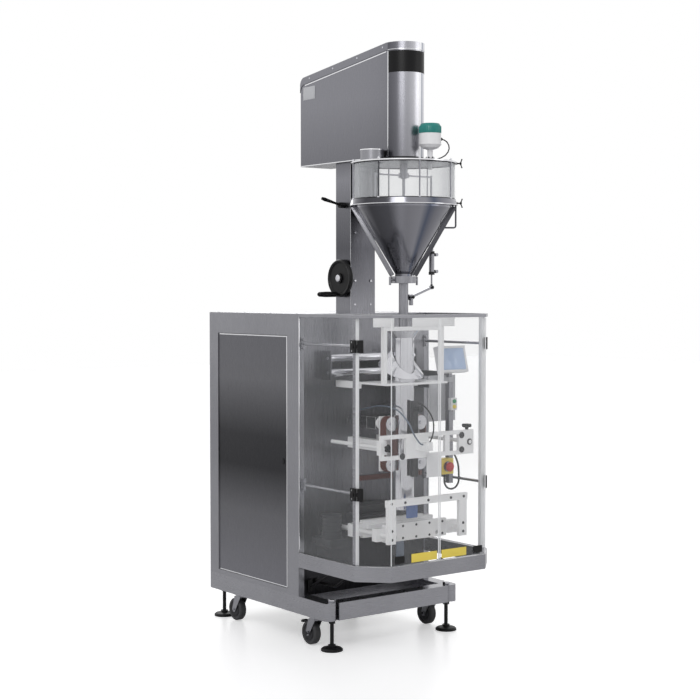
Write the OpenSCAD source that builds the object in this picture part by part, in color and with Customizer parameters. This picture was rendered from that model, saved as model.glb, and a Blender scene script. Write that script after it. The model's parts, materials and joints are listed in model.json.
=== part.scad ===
// Vertical form fill seal machine with an auger filler on a lifting column.
// Millimetres. X to the right, Y to the back, Z up. The origin is on the floor,
// under the middle of the footprint.

/* [Cabinet] */
// Width over the side panels
machine_w = 700; // [660:10:760]
// Depth from the back of the cabinet to the front of the guard
machine_d = 1175; // [1165:1:1187]
// Height of the cabinet and guard above the floor
machine_h = 1363; // [1340:1:1420]
// Depth of the steel cabinet behind the guard
cabinet_d = 690; // [670:5:710]
// Width of the front posts, seen from the side
front_post = 80; // [60:1:90]
// Width of the rear posts, seen from the side
rear_post = 70; // [55:1:80]
// Height of the top side rails
top_rail = 90; // [70:1:100]
// Height of the bottom side rails
bottom_rail = 22; // [18:1:30]
// Thickness of posts and rails, across the machine
post_t = 28; // [24:1:32]
// Thickness of the steel sheets
sheet_t = 3; // [2:0.5:4]
// Setback of the service panels in their frames
panel_setback = 4; // [3:0.5:6]

/* [Base] */
// Underside of the base beams above the floor
beam_z = 125; // [122:1:130]
// Height of the base beams
beam_h = 72; // [66:1:76]
// Width of the base beams
beam_w = 60; // [56:1:64]
// Length of the side beams from the back
beam_len = 890; // [870:5:900]
// Radius of the castor wheels
castor_r = 49; // [46:1:50]
// Width of the castor wheels
castor_wheel_w = 32; // [28:1:34]
// Trail of the castor wheels behind the swivel axis
castor_trail = 28; // [22:1:32]
// Radius of the levelling pads
pad_r = 45; // [40:1:46]
// Radius of the levelling screws
foot_screw_r = 8; // [6:1:9]

/* [Guard] */
// Underside of the bottom guard rail
guard_z = 318; // [310:1:330]
// Height of the bottom guard rail
guard_rail_h = 60; // [50:1:66]
// Width of the guard rails, front to back
guard_rail_w = 24; // [20:1:28]
// Height of the top guard rail
guard_top_h = 12; // [10:1:16]
// Size of the corner cut at the front of the guard
guard_cut = 105; // [95:1:115]
// Thickness of the acrylic panes
pane_t = 5; // [4:0.5:6]
// Side of the square hinge clamps
clamp_side = 50; // [44:1:56]
// Height of the lower hinge clamps
clamp_low_z = 660; // [640:5:680]
// Height of the upper hinge clamps
clamp_high_z = 1240; // [1220:5:1260]
// Radius of the stay rods between cabinet and hinge clamps
stay_r = 6; // [5:0.5:8]

/* [Forming and pulling] */
// Distance of the filling axis in front of the cabinet
fill_reach = 252; // [248:1:258]
// Outer radius of the forming tube
tube_r = 44; // [42:1:48]
// Wall of the forming tube
tube_wall = 2; // [1.5:0.5:3]
// Lower end of the forming tube
tube_z = 560; // [550:5:580]
// Lowest point of the forming shoulder's bending edge
shoulder_z = 1120; // [1115:1:1130]
// Rise of the bending edge from front to back
shoulder_rise = 120; // [110:1:130]
// Spread of the shoulder's wings
shoulder_wing = 95; // [85:1:105]
// Height of the collar plate's top face
collar_plate_z = 1085; // [1080:1:1090]
// Height of the lower pull belt pulleys
belt_low_z = 750; // [745:1:760]
// Distance between the pulley axes
belt_reach = 165; // [160:1:180]
// Radius of the pull belt pulleys
pulley_r = 26; // [24:1:28]
// Thickness of the pull belts
belt_t = 5; // [4:0.5:6]
// Width of the pull belts
belt_w = 34; // [30:1:38]

/* [Sealing] */
// Height of the jaw centres
jaw_z = 482; // [475:1:490]
// Length of the jaw plates
jaw_len = 330; // [320:5:340]
// Height of the jaw plates
jaw_h = 72; // [66:1:76]
// Thickness of the jaw plates
jaw_t = 20; // [18:1:24]
// Open half gap between the sealing faces
jaw_gap = 42; // [38:1:46]
// Height of the sealing bars
seal_h = 34; // [30:1:38]
// Depth of the sealing bars
seal_t = 22; // [18:1:24]
// Radius of the jaw guide rods
guide_r = 10; // [8:1:11]

/* [Film] */
// Outer radius of the film reel
reel_r = 150; // [130:5:160]
// Width of the film on the reel
reel_w = 420; // [380:10:440]
// Radius of the reel shaft
reel_shaft_r = 16; // [14:1:18]
// Radius of the idler rollers
roller_r = 17; // [15:1:19]

/* [Filler column] */
// Width of the column across the machine
column_w = 130; // [124:1:134]
// Depth of the column
column_d = 103; // [98:1:106]
// Wall of the column
column_wall = 6; // [5:0.5:8]
// Distance of the column's front face behind the cabinet's front
column_back = 22; // [18:1:26]
// Radius of the lift screw
screw_r = 12; // [10:1:13]
// Radius of the handwheel
wheel_r = 80; // [74:1:82]
// Height of the handwheel's axis above the cabinet
wheel_z = 148; // [137:1:157]
// Width of the lift block in the column's slot
block_w = 60; // [54:1:64]

/* [Filler head] */
// Height of the head's underside above the cabinet
head_z = 637; // [635:1:647]
// Half width of the head and radius of its round front
head_r = 82; // [78:1:84]
// Height of the head's side at the back
head_back_h = 357; // [350:1:365]
// Height of the head's side at the front
head_front_h = 429; // [420:1:436]
// Distance of the head's back behind the filling axis
head_len = 613; // [600:1:625]
// Height of the head's lid
head_lid_h = 31; // [26:1:34]

/* [Hopper] */
// Outer radius of the clear hopper ring
ring_r = 210; // [204:1:214]
// Wall of the clear hopper ring
ring_wall = 4; // [3:0.5:6]
// Height of the hopper flange's underside above the cabinet
flange_z = 441; // [437:1:445]
// Height of the hopper flange
flange_h = 24; // [20:1:28]
// Height of the clear hopper ring
ring_h = 147; // [140:1:150]
// Thickness of the hopper lid
lid_t = 6; // [5:0.5:8]
// Inner radius at the top of the cone
cone_r = 192; // [186:1:196]
// Wall of the cone
cone_wall = 2; // [1.5:0.5:3]
// Height of the cone's lower end above the cabinet
cone_z = 164; // [157:1:172]
// Outer radius of the fill tube
fill_r = 19.5; // [18.5:0.5:21]
// Wall of the fill tube
fill_wall = 2; // [1.5:0.5:2.5]
// Lower end of the fill tube
fill_end_z = 640; // [620:5:660]
// Radius of the inlet collar's bore on the hopper lid
inlet_r = 45; // [42:1:48]
// Height of the inlet collar
inlet_h = 48; // [40:1:56]
// Radius of the level sensor's body
sensor_r = 44; // [40:1:46]

/* [Clearances] */
// Gap between pieces that move past each other
run_gap = 0.5; // [0.3:0.1:0.8]
// Gap round the doors and service panels
door_gap = 2; // [1.5:0.5:3]

/* [Hidden] */
$fn = 48;
eps = 0.05;
back_y = machine_d / 2;
front_y = -machine_d / 2;
side_x = machine_w / 2;
plate_y = back_y - cabinet_d;
beam_top = beam_z + beam_h;
fill_y = plate_y - fill_reach;
guard_x = side_x;
guard_bend_y = front_y + guard_cut;
guard_front_x = guard_x - guard_cut;
guard_top_z = machine_h - guard_top_h;
pane_low = guard_z + guard_rail_h;
pane_h = guard_top_z - pane_low;
column_front_y = plate_y + column_back;
column_mid_y = column_front_y + column_d / 2;
wheel_axis_z = machine_h + wheel_z;
head_low_z = machine_h + head_z;
flange_low_z = machine_h + flange_z;
cone_low_z = machine_h + cone_z;
ring_z = flange_low_z + flange_h;
lid_z = ring_z + ring_h;
lid_top = lid_z + lid_t;
panel_y0 = plate_y + front_post;
panel_y1 = back_y - rear_post;
panel_z0 = beam_top + bottom_rail;
panel_z1 = machine_h - top_rail;
pulley_gap = run_gap;
belt_x = tube_r + 1 + belt_t + pulley_r + pulley_gap;
belt_high_z = belt_low_z + belt_reach;
castor_x = side_x - beam_w / 2 - 10;
foot_x = side_x - pad_r;
foot_y = [back_y - pad_r, back_y - beam_len + beam_w / 2];
castor_y = [back_y - 190, foot_y[1] + 108];
guide_x = jaw_len / 2 + 22;
inlet_pos = [-136, fill_y + 35];
sensor_pos = [24, fill_y - 138];

// Guard
door_set = pane_t;
hinge_gap = 0.3;
panel_barrel_r = 2;
panel_barrel_y = panel_y1 - panel_barrel_r - 0.5;
door_barrel_r = 3;
door_h = pane_h - 2 * door_gap;
hinge_set = 6;
knuckle_r = 5.5;
pin_r = 2.2;
leaf_t = 4.5;
hinge_x = guard_x - hinge_set;
hinge_y = guard_bend_y + hinge_set * tan(22.5);
post_side = 18;
post_x = guard_x - door_set - pane_t - post_side;
post_y = guard_bend_y + 7;
stay_x = guard_x - door_set - pane_t - 12;
roof_hole_r = tube_r + 34;
latch_x = guard_front_x - 40;

// Film path
film_slot_z = 1150;
film_gap = 2.5;
shoulder_t = 1.5;
wing_slope = 48;
collar_plate_t = 8;
tube_top = shoulder_z + shoulder_rise + 55;
stand_x = 150;
roller_len = reel_w + 30;
roller_pin_r = 6;
idler_reach = 42;
idler_z = [1120, 1180];
reel_y = back_y - 210;
reel_z = 520;
reel_arm_x = reel_w / 2 + 30;

// Pulling and sealing
carrier_y = fill_y + belt_w / 2 + 6;
bridge_x = [-200, 292];
bridge_z = [780, 880];
bridge_mid = 830;
bridge_y = fill_y - tube_r - 62;
bridge_rod_x = [-178, 268];
piston_r = 7;
sealer_open = 16;
sealer_t = 20;
sealer_z = [700, 1010];
sealer_travel = 12;
yoke_y = fill_y - 160;
seal_len = jaw_len - 40;
knife_t = 2;
knife_gap = 0.3;
yoke_z = 600;

// Controls
screen_w = 150;
screen_h = 112;
screen_tilt = -14;
control_y = guard_bend_y + 190;
screen_pos = [side_x - 90, control_y - 30, 1161];
stop_pos = [side_x - 100, control_y - 50, 716];

// Filler
back_head_y = fill_y + head_len;
column_top = head_low_z + 110;
head_top = head_front_h + head_lid_h + 240;
slot_w = block_w - 10;
lift_travel = 100;
wheel_shaft_r = 9;
crank_len = 100;
auger_r_top = 12;
sleeve_r = 16;
stir_r = 147;
auger_pitch = 45;
auger_core_r = 6;
hopper_out = 35;
hopper_wall = 2;
cone_slope = atan2(cone_r - hopper_out, flange_low_z - 8 - cone_low_z);
rod_out = 3.4;
sensor_top = lid_top + 108;
drip_pos = [fill_r + 20, fill_y, machine_h + 69];
drip_len = 118;
drip_lift = 20;
bent_z = flange_low_z - 88;

// The sensor's cable, from its gland to the gasket under the head.
cable_r = 2.5;
cable_route = [
    [67.1, -504.3, 2068], [72, -506, 2068], [84, -510, 2065], [96, -512, 2058], [106, -512, 2046],
    [110, -510, 2032], [108, -505, 2018], [100, -497, 2005], [88, -487, 1996], [74, -475, 1990],
    [60, -462, 1987], [46, -449, 1986.5], [34, -437, 1987], [26, -428, 1989], [22.3, -421.7, 1990]
];

// A box from its lowest corner and size.
module block(at, size) {
    translate(at) cube(size);
}

// A pair of like pieces, one on each side of the machine.
module both_sides() {
    for (s = [-1, 1]) mirror([s < 0 ? 1 : 0, 0, 0]) children();
}

// A rod along X, Y or Z from a start point.
module rod_x(at, len, r) {
    translate(at) rotate([0, 90, 0]) cylinder(h = len, r = r);
}
module rod_y(at, len, r) {
    translate(at) rotate([-90, 0, 0]) cylinder(h = len, r = r);
}
module rod_z(at, len, r) {
    translate(at) cylinder(h = len, r = r);
}

// The guard's outline in plan, drawn in by a margin, open towards the cabinet.
function guard_outline(inset) = [
    [-guard_x + inset, plate_y],
    [-guard_x + inset, guard_bend_y + inset * tan(22.5)],
    [-guard_front_x + inset * tan(22.5), front_y + inset],
    [guard_front_x - inset * tan(22.5), front_y + inset],
    [guard_x - inset, guard_bend_y + inset * tan(22.5)],
    [guard_x - inset, plate_y]
];

module guard_band(z, h, outer, inner) {
    translate([0, 0, z]) linear_extrude(h) difference() {
        polygon(guard_outline(outer));
        translate([0, eps]) polygon(guard_outline(inner));
    }
}

// Base

module base_frame() {
    color("silver") difference() {
        union() {
            both_sides() {
                block([side_x - beam_w, back_y - beam_len + beam_w / 2, beam_z],
                    [beam_w, beam_len - beam_w / 2, beam_h]);
                rod_z([side_x - beam_w / 2, back_y - beam_len + beam_w / 2, beam_z], beam_h, beam_w / 2);
            }
            block([-side_x + beam_w - eps, back_y - beam_w, beam_z],
                [machine_w - 2 * beam_w + 2 * eps, beam_w, beam_h]);
            block([-side_x + beam_w - eps, foot_y[1] - beam_w / 2, beam_z],
                [machine_w - 2 * beam_w + 2 * eps, beam_w, beam_h]);
            block([-side_x + beam_w - eps, plate_y, beam_z],
                [machine_w - 2 * beam_w + 2 * eps, beam_w, beam_h]);
        }
        for (x = [-foot_x, foot_x], y = foot_y)
            rod_z([x, y, beam_z - 1], beam_h + 2, foot_screw_r + 0.3);
    }
}

module levelling_feet() {
    color("dimgray") for (x = [-foot_x, foot_x], y = foot_y) translate([x, y, 0]) {
        rotate_extrude() polygon([[0, 0], [pad_r, 0], [pad_r, 7], [pad_r - 6, 12],
            [16, 17], [16, 24], [foot_screw_r, 24], [foot_screw_r, beam_top + 4], [0, beam_top + 4]]);
        translate([0, 0, beam_z - 14]) cylinder(h = 13.7, r = 15, $fn = 6);
    }
}

// Castors: the rear pair is fixed and the front pair swivels.
function castor_at(side, row) = [side * castor_x, castor_y[row], castor_r + 1];

module castor_fork(side, row) {
    c = castor_at(side, row);
    top = beam_z - 0.3;
    leg_w = castor_wheel_w / 2 + 1.5;
    color("silver") translate([c[0], c[1], 0]) {
        rod_z([0, 0, top - 5], 5, 30);
        rod_z([0, 0, top - 15], 11, 22);
        for (s = [-1, 1]) {
            translate([s > 0 ? leg_w : -leg_w - 3, 0, 0]) rotate([90, 0, 90]) linear_extrude(3)
                polygon([[-24, top - 14], [22, top - 14], [castor_trail + 12, c[2]],
                    [castor_trail + 4, c[2] - 12], [castor_trail - 8, c[2] - 10]]);
        }
        block([-leg_w - 3, -24, top - 17], [2 * leg_w + 6, 46, 3]);
        rod_x([-leg_w - 7, castor_trail, c[2]], 2 * leg_w + 14, 4.7);
    }
}

module rear_castor_forks() {
    castor_fork(-1, 0);
    castor_fork(1, 0);
}
module left_castor_fork() { castor_fork(-1, 1); }
module right_castor_fork() { castor_fork(1, 1); }

module castor_wheel(side, row) {
    c = castor_at(side, row);
    color("gray") translate([c[0] - castor_wheel_w / 2, c[1] + castor_trail, c[2]]) rotate([0, 90, 0])
        rotate_extrude() polygon([
            [5, 0], [14, 0], [16, 5], [castor_r - 14, 5], [castor_r - 12, 0], [castor_r - 4, 0],
            [castor_r, 5], [castor_r, castor_wheel_w - 5], [castor_r - 4, castor_wheel_w],
            [castor_r - 12, castor_wheel_w], [castor_r - 14, castor_wheel_w - 5],
            [16, castor_wheel_w - 5], [14, castor_wheel_w], [5, castor_wheel_w]]);
}
module rear_left_wheel() { castor_wheel(-1, 0); }
module rear_right_wheel() { castor_wheel(1, 0); }
module front_left_wheel() { castor_wheel(-1, 1); }
module front_right_wheel() { castor_wheel(1, 1); }

// Cabinet

module cabinet_frame() {
    color("silver") {
        both_sides() {
            block([side_x - post_t, plate_y, beam_top], [post_t, front_post, machine_h - beam_top - sheet_t]);
            block([side_x - post_t, back_y - rear_post, beam_top],
                [post_t, rear_post, machine_h - beam_top - sheet_t]);
            block([side_x - post_t, panel_y0 - eps, machine_h - top_rail],
                [post_t, panel_y1 - panel_y0 + 2 * eps, top_rail - sheet_t]);
            block([side_x - post_t, panel_y0 - eps, beam_top],
                [post_t, panel_y1 - panel_y0 + 2 * eps, bottom_rail]);
        }
        block([-side_x + post_t - eps, back_y - 30, beam_top], [machine_w - 2 * post_t + 2 * eps, 30, 40]);
        block([-side_x + post_t - eps, back_y - 30, machine_h - sheet_t - 60],
            [machine_w - 2 * post_t + 2 * eps, 30, 60]);
        block([-side_x + post_t - eps, plate_y + sheet_t, machine_h - sheet_t - 60],
            [machine_w - 2 * post_t + 2 * eps, 30, 60]);
        block([-side_x + post_t - eps, plate_y + sheet_t, beam_top],
            [machine_w - 2 * post_t + 2 * eps, 30, 40]);
        for (x = [-column_w / 2, column_w / 2 - 20])
            block([x, plate_y + sheet_t + 30 - eps, machine_h - sheet_t - 40],
                [20, cabinet_d - sheet_t - 60 + 2 * eps, 40]);
        cabinet_roof();
    }
}

module cabinet_roof() {
    translate([0, 0, machine_h - sheet_t]) linear_extrude(sheet_t) difference() {
        translate([-side_x, plate_y]) square([machine_w, cabinet_d]);
        translate([0, column_mid_y]) circle(r = screw_r + 4);
    }
}

module front_plate() {
    color("silver") translate([0, plate_y + sheet_t, 0]) rotate([90, 0, 0]) linear_extrude(sheet_t) difference() {
        translate([-side_x + post_t, beam_top]) square([machine_w - 2 * post_t, machine_h - sheet_t - beam_top]);
        translate([-reel_w / 2 - 15, film_slot_z - 45]) square([reel_w + 30, 90]);
        for (x = [-guide_x, guide_x]) translate([x, jaw_z]) circle(r = guide_r + 0.3);
    }
    roller_cheeks();
}

// A service panel that fills one side's opening; side -1 is the left.
module service_panel(s) {
    x0 = s < 0 ? -side_x + panel_setback : side_x - panel_setback - sheet_t;
    fold = 18;
    color("dimgray") {
        block([x0, panel_y0 + door_gap, panel_z0 + door_gap],
            [sheet_t, panel_y1 - panel_y0 - door_gap - hinge_gap, panel_z1 - panel_z0 - 2 * door_gap]);
        for (y = [panel_y0 + door_gap, panel_y1 - hinge_gap - sheet_t])
            block([s < 0 ? x0 : x0 + sheet_t - fold, y, panel_z0 + door_gap],
                [fold, sheet_t, panel_z1 - panel_z0 - 2 * door_gap]);
        for (z = [panel_z0 + door_gap, panel_z1 - door_gap - sheet_t])
            block([s < 0 ? x0 : x0 + sheet_t - fold, panel_y0 + door_gap, z],
                [fold, panel_y1 - panel_y0 - door_gap - hinge_gap, sheet_t]);
        rod_z([s * (side_x - panel_setback), panel_barrel_y, panel_z0 + door_gap],
            panel_z1 - panel_z0 - 2 * door_gap, panel_barrel_r);
    }
    color("black") rod_x([s < 0 ? x0 - 3 : x0, panel_y0 + 40, (panel_z0 + panel_z1) / 2], sheet_t + 3, 11);
}

module left_service_panel() { service_panel(-1); }
module right_service_panel() { service_panel(1); }

module rear_door() {
    x0 = -side_x + post_t + hinge_gap + door_barrel_r;
    w = machine_w - 2 * post_t - door_gap - hinge_gap - door_barrel_r;
    z0 = beam_top + 40 + door_gap;
    h = machine_h - sheet_t - 60 - door_gap - z0;
    color("silver") difference() {
        union() {
            block([x0, back_y - 20, z0], [w, 20, h]);
            rod_z([x0, back_y - door_barrel_r, z0], h, door_barrel_r);
        }
        block([x0 + sheet_t, back_y - 20 - eps, z0 + sheet_t], [w - 2 * sheet_t, 20 - sheet_t, h - 2 * sheet_t]);
    }
    color("black") translate([x0 + w - 34, back_y, z0 + h / 2]) rotate([90, 0, 0]) cylinder(h = 12, r = 11);
}

// Guard

module guard_frame() {
    stay_rods();
    color("silver") {
        guard_band(guard_z, guard_rail_h, 0, guard_rail_w);
        guard_band(guard_top_z, guard_top_h, 0, guard_rail_w);
        both_sides() block([post_x, post_y, pane_low - eps], [post_side, post_side, pane_h + 2 * eps]);
    }
}

module guard_roof() {
    color("white", 0.4) translate([0, 0, guard_top_z + 2]) linear_extrude(pane_t) difference() {
        polygon(guard_outline(guard_rail_w + run_gap));
        translate([0, fill_y]) circle(r = roof_hole_r);
    }
}

module side_window(s) {
    color("white", 0.4) translate([s * (guard_x - door_set - pane_t / 2) - pane_t / 2, post_y + 5, pane_low])
        cube([pane_t, plate_y - post_y - 5, pane_h]);
}

module guard_panes() {
    side_window(-1);
    side_window(1);
    guard_roof();
}

module stay_rods() {
    y0 = post_y + post_side;
    color("silver") both_sides() for (z = [clamp_low_z, clamp_high_z]) {
        rod_y([stay_x, y0, z], plate_y - y0, stay_r);
        translate([stay_x - 11, plate_y - 6, z - 26]) cube([22, 6, 52]);
        for (k = [-1, 1]) rod_y([stay_x, plate_y - 12, z + k * 17], 7, 7);
    }
}

// Knuckles turn about one pin at the guard's corner; the middle one belongs to the door.
module hinge_place(z) {
    translate([hinge_x, hinge_y, z]) children();
}

module hinge_knuckle(z0, z1, bore) {
    difference() {
        rod_z([0, 0, z0], z1 - z0, knuckle_r);
        rod_z([0, 0, z0 - 1], z1 - z0 + 2, bore);
    }
}

module hinge_clamps() {
    third = clamp_side / 3;
    color("black") both_sides() for (z = [clamp_low_z, clamp_high_z]) hinge_place(z - clamp_side / 2) {
        hinge_knuckle(0, third, pin_r - 0.2);
        hinge_knuckle(2 * third, clamp_side, pin_r - 0.2);
        rod_z([0, 0, 0], clamp_side, pin_r);
        difference() {
            block([guard_x - 0.5 - hinge_x - leaf_t, 0, 0], [leaf_t, clamp_side * 0.55, clamp_side]);
            block([-knuckle_r - 2, -knuckle_r - 2, third - run_gap],
                [2 * knuckle_r + 4, 2 * knuckle_r + 5, third + 2 * run_gap]);
        }
    }
}

// A guard door in plan: the cut corner and its half of the front, as one bent pane.
function door_plan(t) = [
    [guard_x - t, guard_bend_y + t * tan(22.5)],
    [guard_front_x - t * tan(22.5), front_y + t],
    [door_gap / 2, front_y + t]
];

module door_shape(outer, inner) {
    a = door_plan(outer);
    b = door_plan(inner);
    difference() {
        polygon([a[0], a[1], a[2], b[2], b[1], b[0]]);
        translate([hinge_x, hinge_y]) rotate(225) translate([-30, -30]) square([30 + knuckle_r + 3, 60]);
    }
}

module guard_door(s) {
    color("white", 0.4) mirror([s < 0 ? 1 : 0, 0, 0])
        translate([0, 0, pane_low + door_gap]) linear_extrude(door_h) door_shape(door_set, door_set + pane_t);
}
module left_guard_door() { guard_door(-1); }
module right_guard_door() { guard_door(1); }

// Door hardware: the hinge leaves and a small latch with its finger knob.
module door_fittings(s) {
    third = clamp_side / 3;
    color("black") mirror([s < 0 ? 1 : 0, 0, 0]) {
        for (z = [clamp_low_z, clamp_high_z]) hinge_place(z - clamp_side / 2) {
            hinge_knuckle(third + run_gap, 2 * third - run_gap, pin_r + 0.3);
            difference() {
                rotate([0, 0, 225]) {
                    block([knuckle_r - 1, hinge_set - door_set, third + run_gap],
                        [9, leaf_t, third - 2 * run_gap]);
                    block([knuckle_r + 1.5, hinge_set - door_set, 0], [clamp_side * 0.5, leaf_t, clamp_side]);
                }
                rod_z([0, 0, -1], third + 1 + run_gap, knuckle_r + 1);
                rod_z([0, 0, 2 * third - run_gap], third + 2, knuckle_r + 1);
                rod_z([0, 0, -1], clamp_side + 2, pin_r + 0.3);
            }
        }
        translate([latch_x, front_y + door_set, pane_low + 26]) {
            block([-22, -4.5, -14], [44, 4.5, 28]);
            translate([0, -4.4, 0]) rotate([90, 0, 0]) cylinder(h = 0.5, r = 12);
        }
    }
}
module left_door_fittings() { door_fittings(-1); }
module right_door_fittings() { door_fittings(1); }

// Forming

module forming_tube() {
    color("lightgray") translate([0, fill_y, 0]) rotate_extrude() polygon([
        [tube_r - tube_wall, tube_z], [tube_r, tube_z], [tube_r, tube_top - 30],
        [tube_r + 22, tube_top], [tube_r + 22 - tube_wall, tube_top + 1], [tube_r - tube_wall, tube_top - 29]]);
}

// The shoulder turns the flat film round the tube. Its bending edge rises from the
// front to the back, and a sheet falls away from that edge all round it.
function edge_z(a) = shoulder_z + shoulder_rise * (1 + cos(a)) / 2;
function wing_len(a) = shoulder_wing * (0.28 + 0.72 * pow((1 + cos(a)) / 2, 0.6));
function shoulder_profile(a) = let (r = tube_r + film_gap, l = wing_len(a)) [
    [r, collar_plate_z - collar_plate_t], [r, edge_z(a)],
    [r + l * cos(wing_slope), edge_z(a) - l * sin(wing_slope)],
    [r + l * cos(wing_slope) - 1, edge_z(a) - l * sin(wing_slope) - shoulder_t],
    [r + shoulder_t, edge_z(a) - shoulder_t * 2],
    [r + shoulder_t, collar_plate_z - collar_plate_t]
];

module forming_collar() {
    steps = 48;
    n = 6;
    points = [for (i = [0:steps - 1]) let (a = i * 360 / steps)
        for (p = shoulder_profile(a)) [p[0] * sin(a), p[0] * cos(a), p[1]]];
    faces = [for (i = [0:steps - 1]) for (j = [0:n - 1])
        let (k = (i + 1) % steps, m = (j + 1) % n)
        [i * n + j, i * n + m, k * n + m, k * n + j]];
    color("gainsboro") translate([0, fill_y, 0]) polyhedron(points, faces);
}

module collar_stand() {
    r = tube_r + film_gap + shoulder_t + 0.3;
    color("white") {
        difference() {
            block([-stand_x - 12, fill_y - 90, collar_plate_z - collar_plate_t],
                [2 * stand_x + 24, 190, collar_plate_t]);
            rod_z([0, fill_y, collar_plate_z - 20], 30, r);
        }
        both_sides() {
            block([stand_x - 9, fill_y - 70, collar_plate_z - eps], [18, 18, guard_top_z - collar_plate_z + eps]);
            block([-eps, fill_y - 70, tube_top + 1.3], [stand_x, 18, 16]);
            block([stand_x - 9, fill_y + 99, collar_plate_z - collar_plate_t - 20],
                [18, plate_y - fill_y - 99, 20 + collar_plate_t]);
        }
    }
}

// Idler rollers in front of the plate, on two cheeks.
module roller_cheeks() {
    color("silver") both_sides() difference() {
        block([roller_len / 2 + 1, plate_y - 62, idler_z[0] - 30], [5, 62, idler_z[1] - idler_z[0] + 60]);
        for (z = idler_z) rod_x([0, plate_y - idler_reach, z], roller_len, roller_pin_r + 0.3);
    }
}

module idler(i) {
    color("silver") translate([0, plate_y - idler_reach, idler_z[i]]) {
        rod_x([-roller_len / 2 + 1, 0, 0], roller_len - 2, roller_r);
        rod_x([-roller_len / 2 - 8, 0, 0], roller_len + 16, roller_pin_r);
    }
}
module lower_idler() { idler(0); }
module upper_idler() { idler(1); }

// Pull belts

module belt_outline(r) {
    for (z = [belt_low_z, belt_high_z]) translate([0, z]) circle(r = r);
    translate([-r, belt_low_z]) square([2 * r, belt_reach]);
}

module pull_belt(s) {
    color("brown") translate([s * belt_x, fill_y + belt_w / 2, 0]) rotate([90, 0, 0]) linear_extrude(belt_w)
        difference() {
            belt_outline(pulley_r + pulley_gap + belt_t);
            belt_outline(pulley_r + pulley_gap);
        }
}
module pull_belts() {
    pull_belt(-1);
    pull_belt(1);
}

module belt_pulley(s, z) {
    color("silver") translate([s * belt_x, fill_y, z]) {
        rod_y([0, -belt_w / 2 - 4, 0], 3.7, pulley_r + 4);
        rod_y([0, -belt_w / 2 - 0.5, 0], belt_w + 1, pulley_r);
        rod_y([0, -belt_w / 2 - 10, 0], belt_w + 34, 8);
    }
}
module left_drive_pulley() { belt_pulley(-1, belt_high_z); }
module right_drive_pulley() { belt_pulley(1, belt_high_z); }
module left_tail_pulley() { belt_pulley(-1, belt_low_z); }
module right_tail_pulley() { belt_pulley(1, belt_low_z); }

module belt_carriers() {
    belt_motors();
    color("white") both_sides() {
        difference() {
            block([belt_x - 26, carrier_y, belt_low_z - 30], [52, 10, belt_reach + 60]);
            for (z = [belt_low_z, belt_high_z]) rod_y([belt_x, carrier_y - 1, z], 12, 8.4);
        }
        block([belt_x - 20, carrier_y + 10 - eps, belt_low_z + 50], [40, plate_y - carrier_y - 10 + eps, 44]);
    }
}

module belt_motors() {
    color("dimgray") both_sides() translate([belt_x, carrier_y + 20, belt_high_z]) {
        rod_y([0, 0, 0], 14, 24);
        block([-24, 14, -24], [48, 60, 48]);
        rod_y([0, 74, 0], plate_y - carrier_y - 20 - 74, 22);
    }
}

// Vertical sealer on a white bridge in front of the tube

module sealer_bridge() {
    bar = 16;
    bridge_rods();
    sealer_cylinder();
    color("white") difference() {
        union() {
            block([bridge_x[0], bridge_y, bridge_z[0]], [bridge_x[1] - bridge_x[0], 14, bridge_z[1] - bridge_z[0]]);
            for (x = bridge_rod_x)
                block([x - 18, bridge_y, bridge_z[0] + 20], [36, 34, bridge_z[1] - bridge_z[0] - 40]);
        }
        block([bridge_x[0] + bar, bridge_y - 1, bridge_z[0] + bar], [112, 16, bridge_z[1] - bridge_z[0] - 2 * bar]);
        block([46, bridge_y - 1, bridge_z[0] + bar], [90, 16, bridge_z[1] - bridge_z[0] - 2 * bar]);
        block([160, bridge_y - 1, bridge_z[0] + bar], [50, 16, bridge_z[1] - bridge_z[0] - 2 * bar]);
        rod_y([0, bridge_y - 1, bridge_mid], 16, piston_r + 0.3);
    }
}

module bridge_rods() {
    color("silver") for (x = bridge_rod_x) rod_y([x, bridge_y - 6, bridge_mid], plate_y - bridge_y + 6, guide_r - 2);
}

module sealer_cylinder() {
    color("silver") difference() {
        union() {
            block([-17, bridge_y - 62, bridge_mid - 17], [34, 62, 34]);
            rod_y([0, bridge_y - 66, bridge_mid], 5, 14);
        }
        rod_y([0, bridge_y - 58, bridge_mid], 60, piston_r + 0.3);
    }
}

module vertical_sealer() {
    y0 = fill_y - tube_r - sealer_open - sealer_t;
    color("dimgray") {
        block([-13, y0, sealer_z[0]], [26, sealer_t, sealer_z[1] - sealer_z[0]]);
        rod_y([0, bridge_y - 40, bridge_mid], y0 - bridge_y + 40 + 1, piston_r);
        rod_y([0, y0 - 16, sealer_z[1] - 32], 17, 9);
        block([-6, y0 + sealer_t - eps, sealer_z[0] + 4], [12, 3, sealer_z[1] - sealer_z[0] - 8]);
    }
}

// Jaws

module jaw_guides() {
    color("silver") for (x = [-guide_x, guide_x]) rod_y([x, yoke_y, jaw_z], plate_y + 40 - yoke_y, guide_r);
    color("white") {
        block([-guide_x - 24, yoke_y, yoke_z], [2 * guide_x + 48, 16, 28]);
        both_sides() block([guide_x - 20, yoke_y, jaw_z - 30], [40, 16, yoke_z - jaw_z + 30 + eps]);
    }
    jaw_motor();
}

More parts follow.
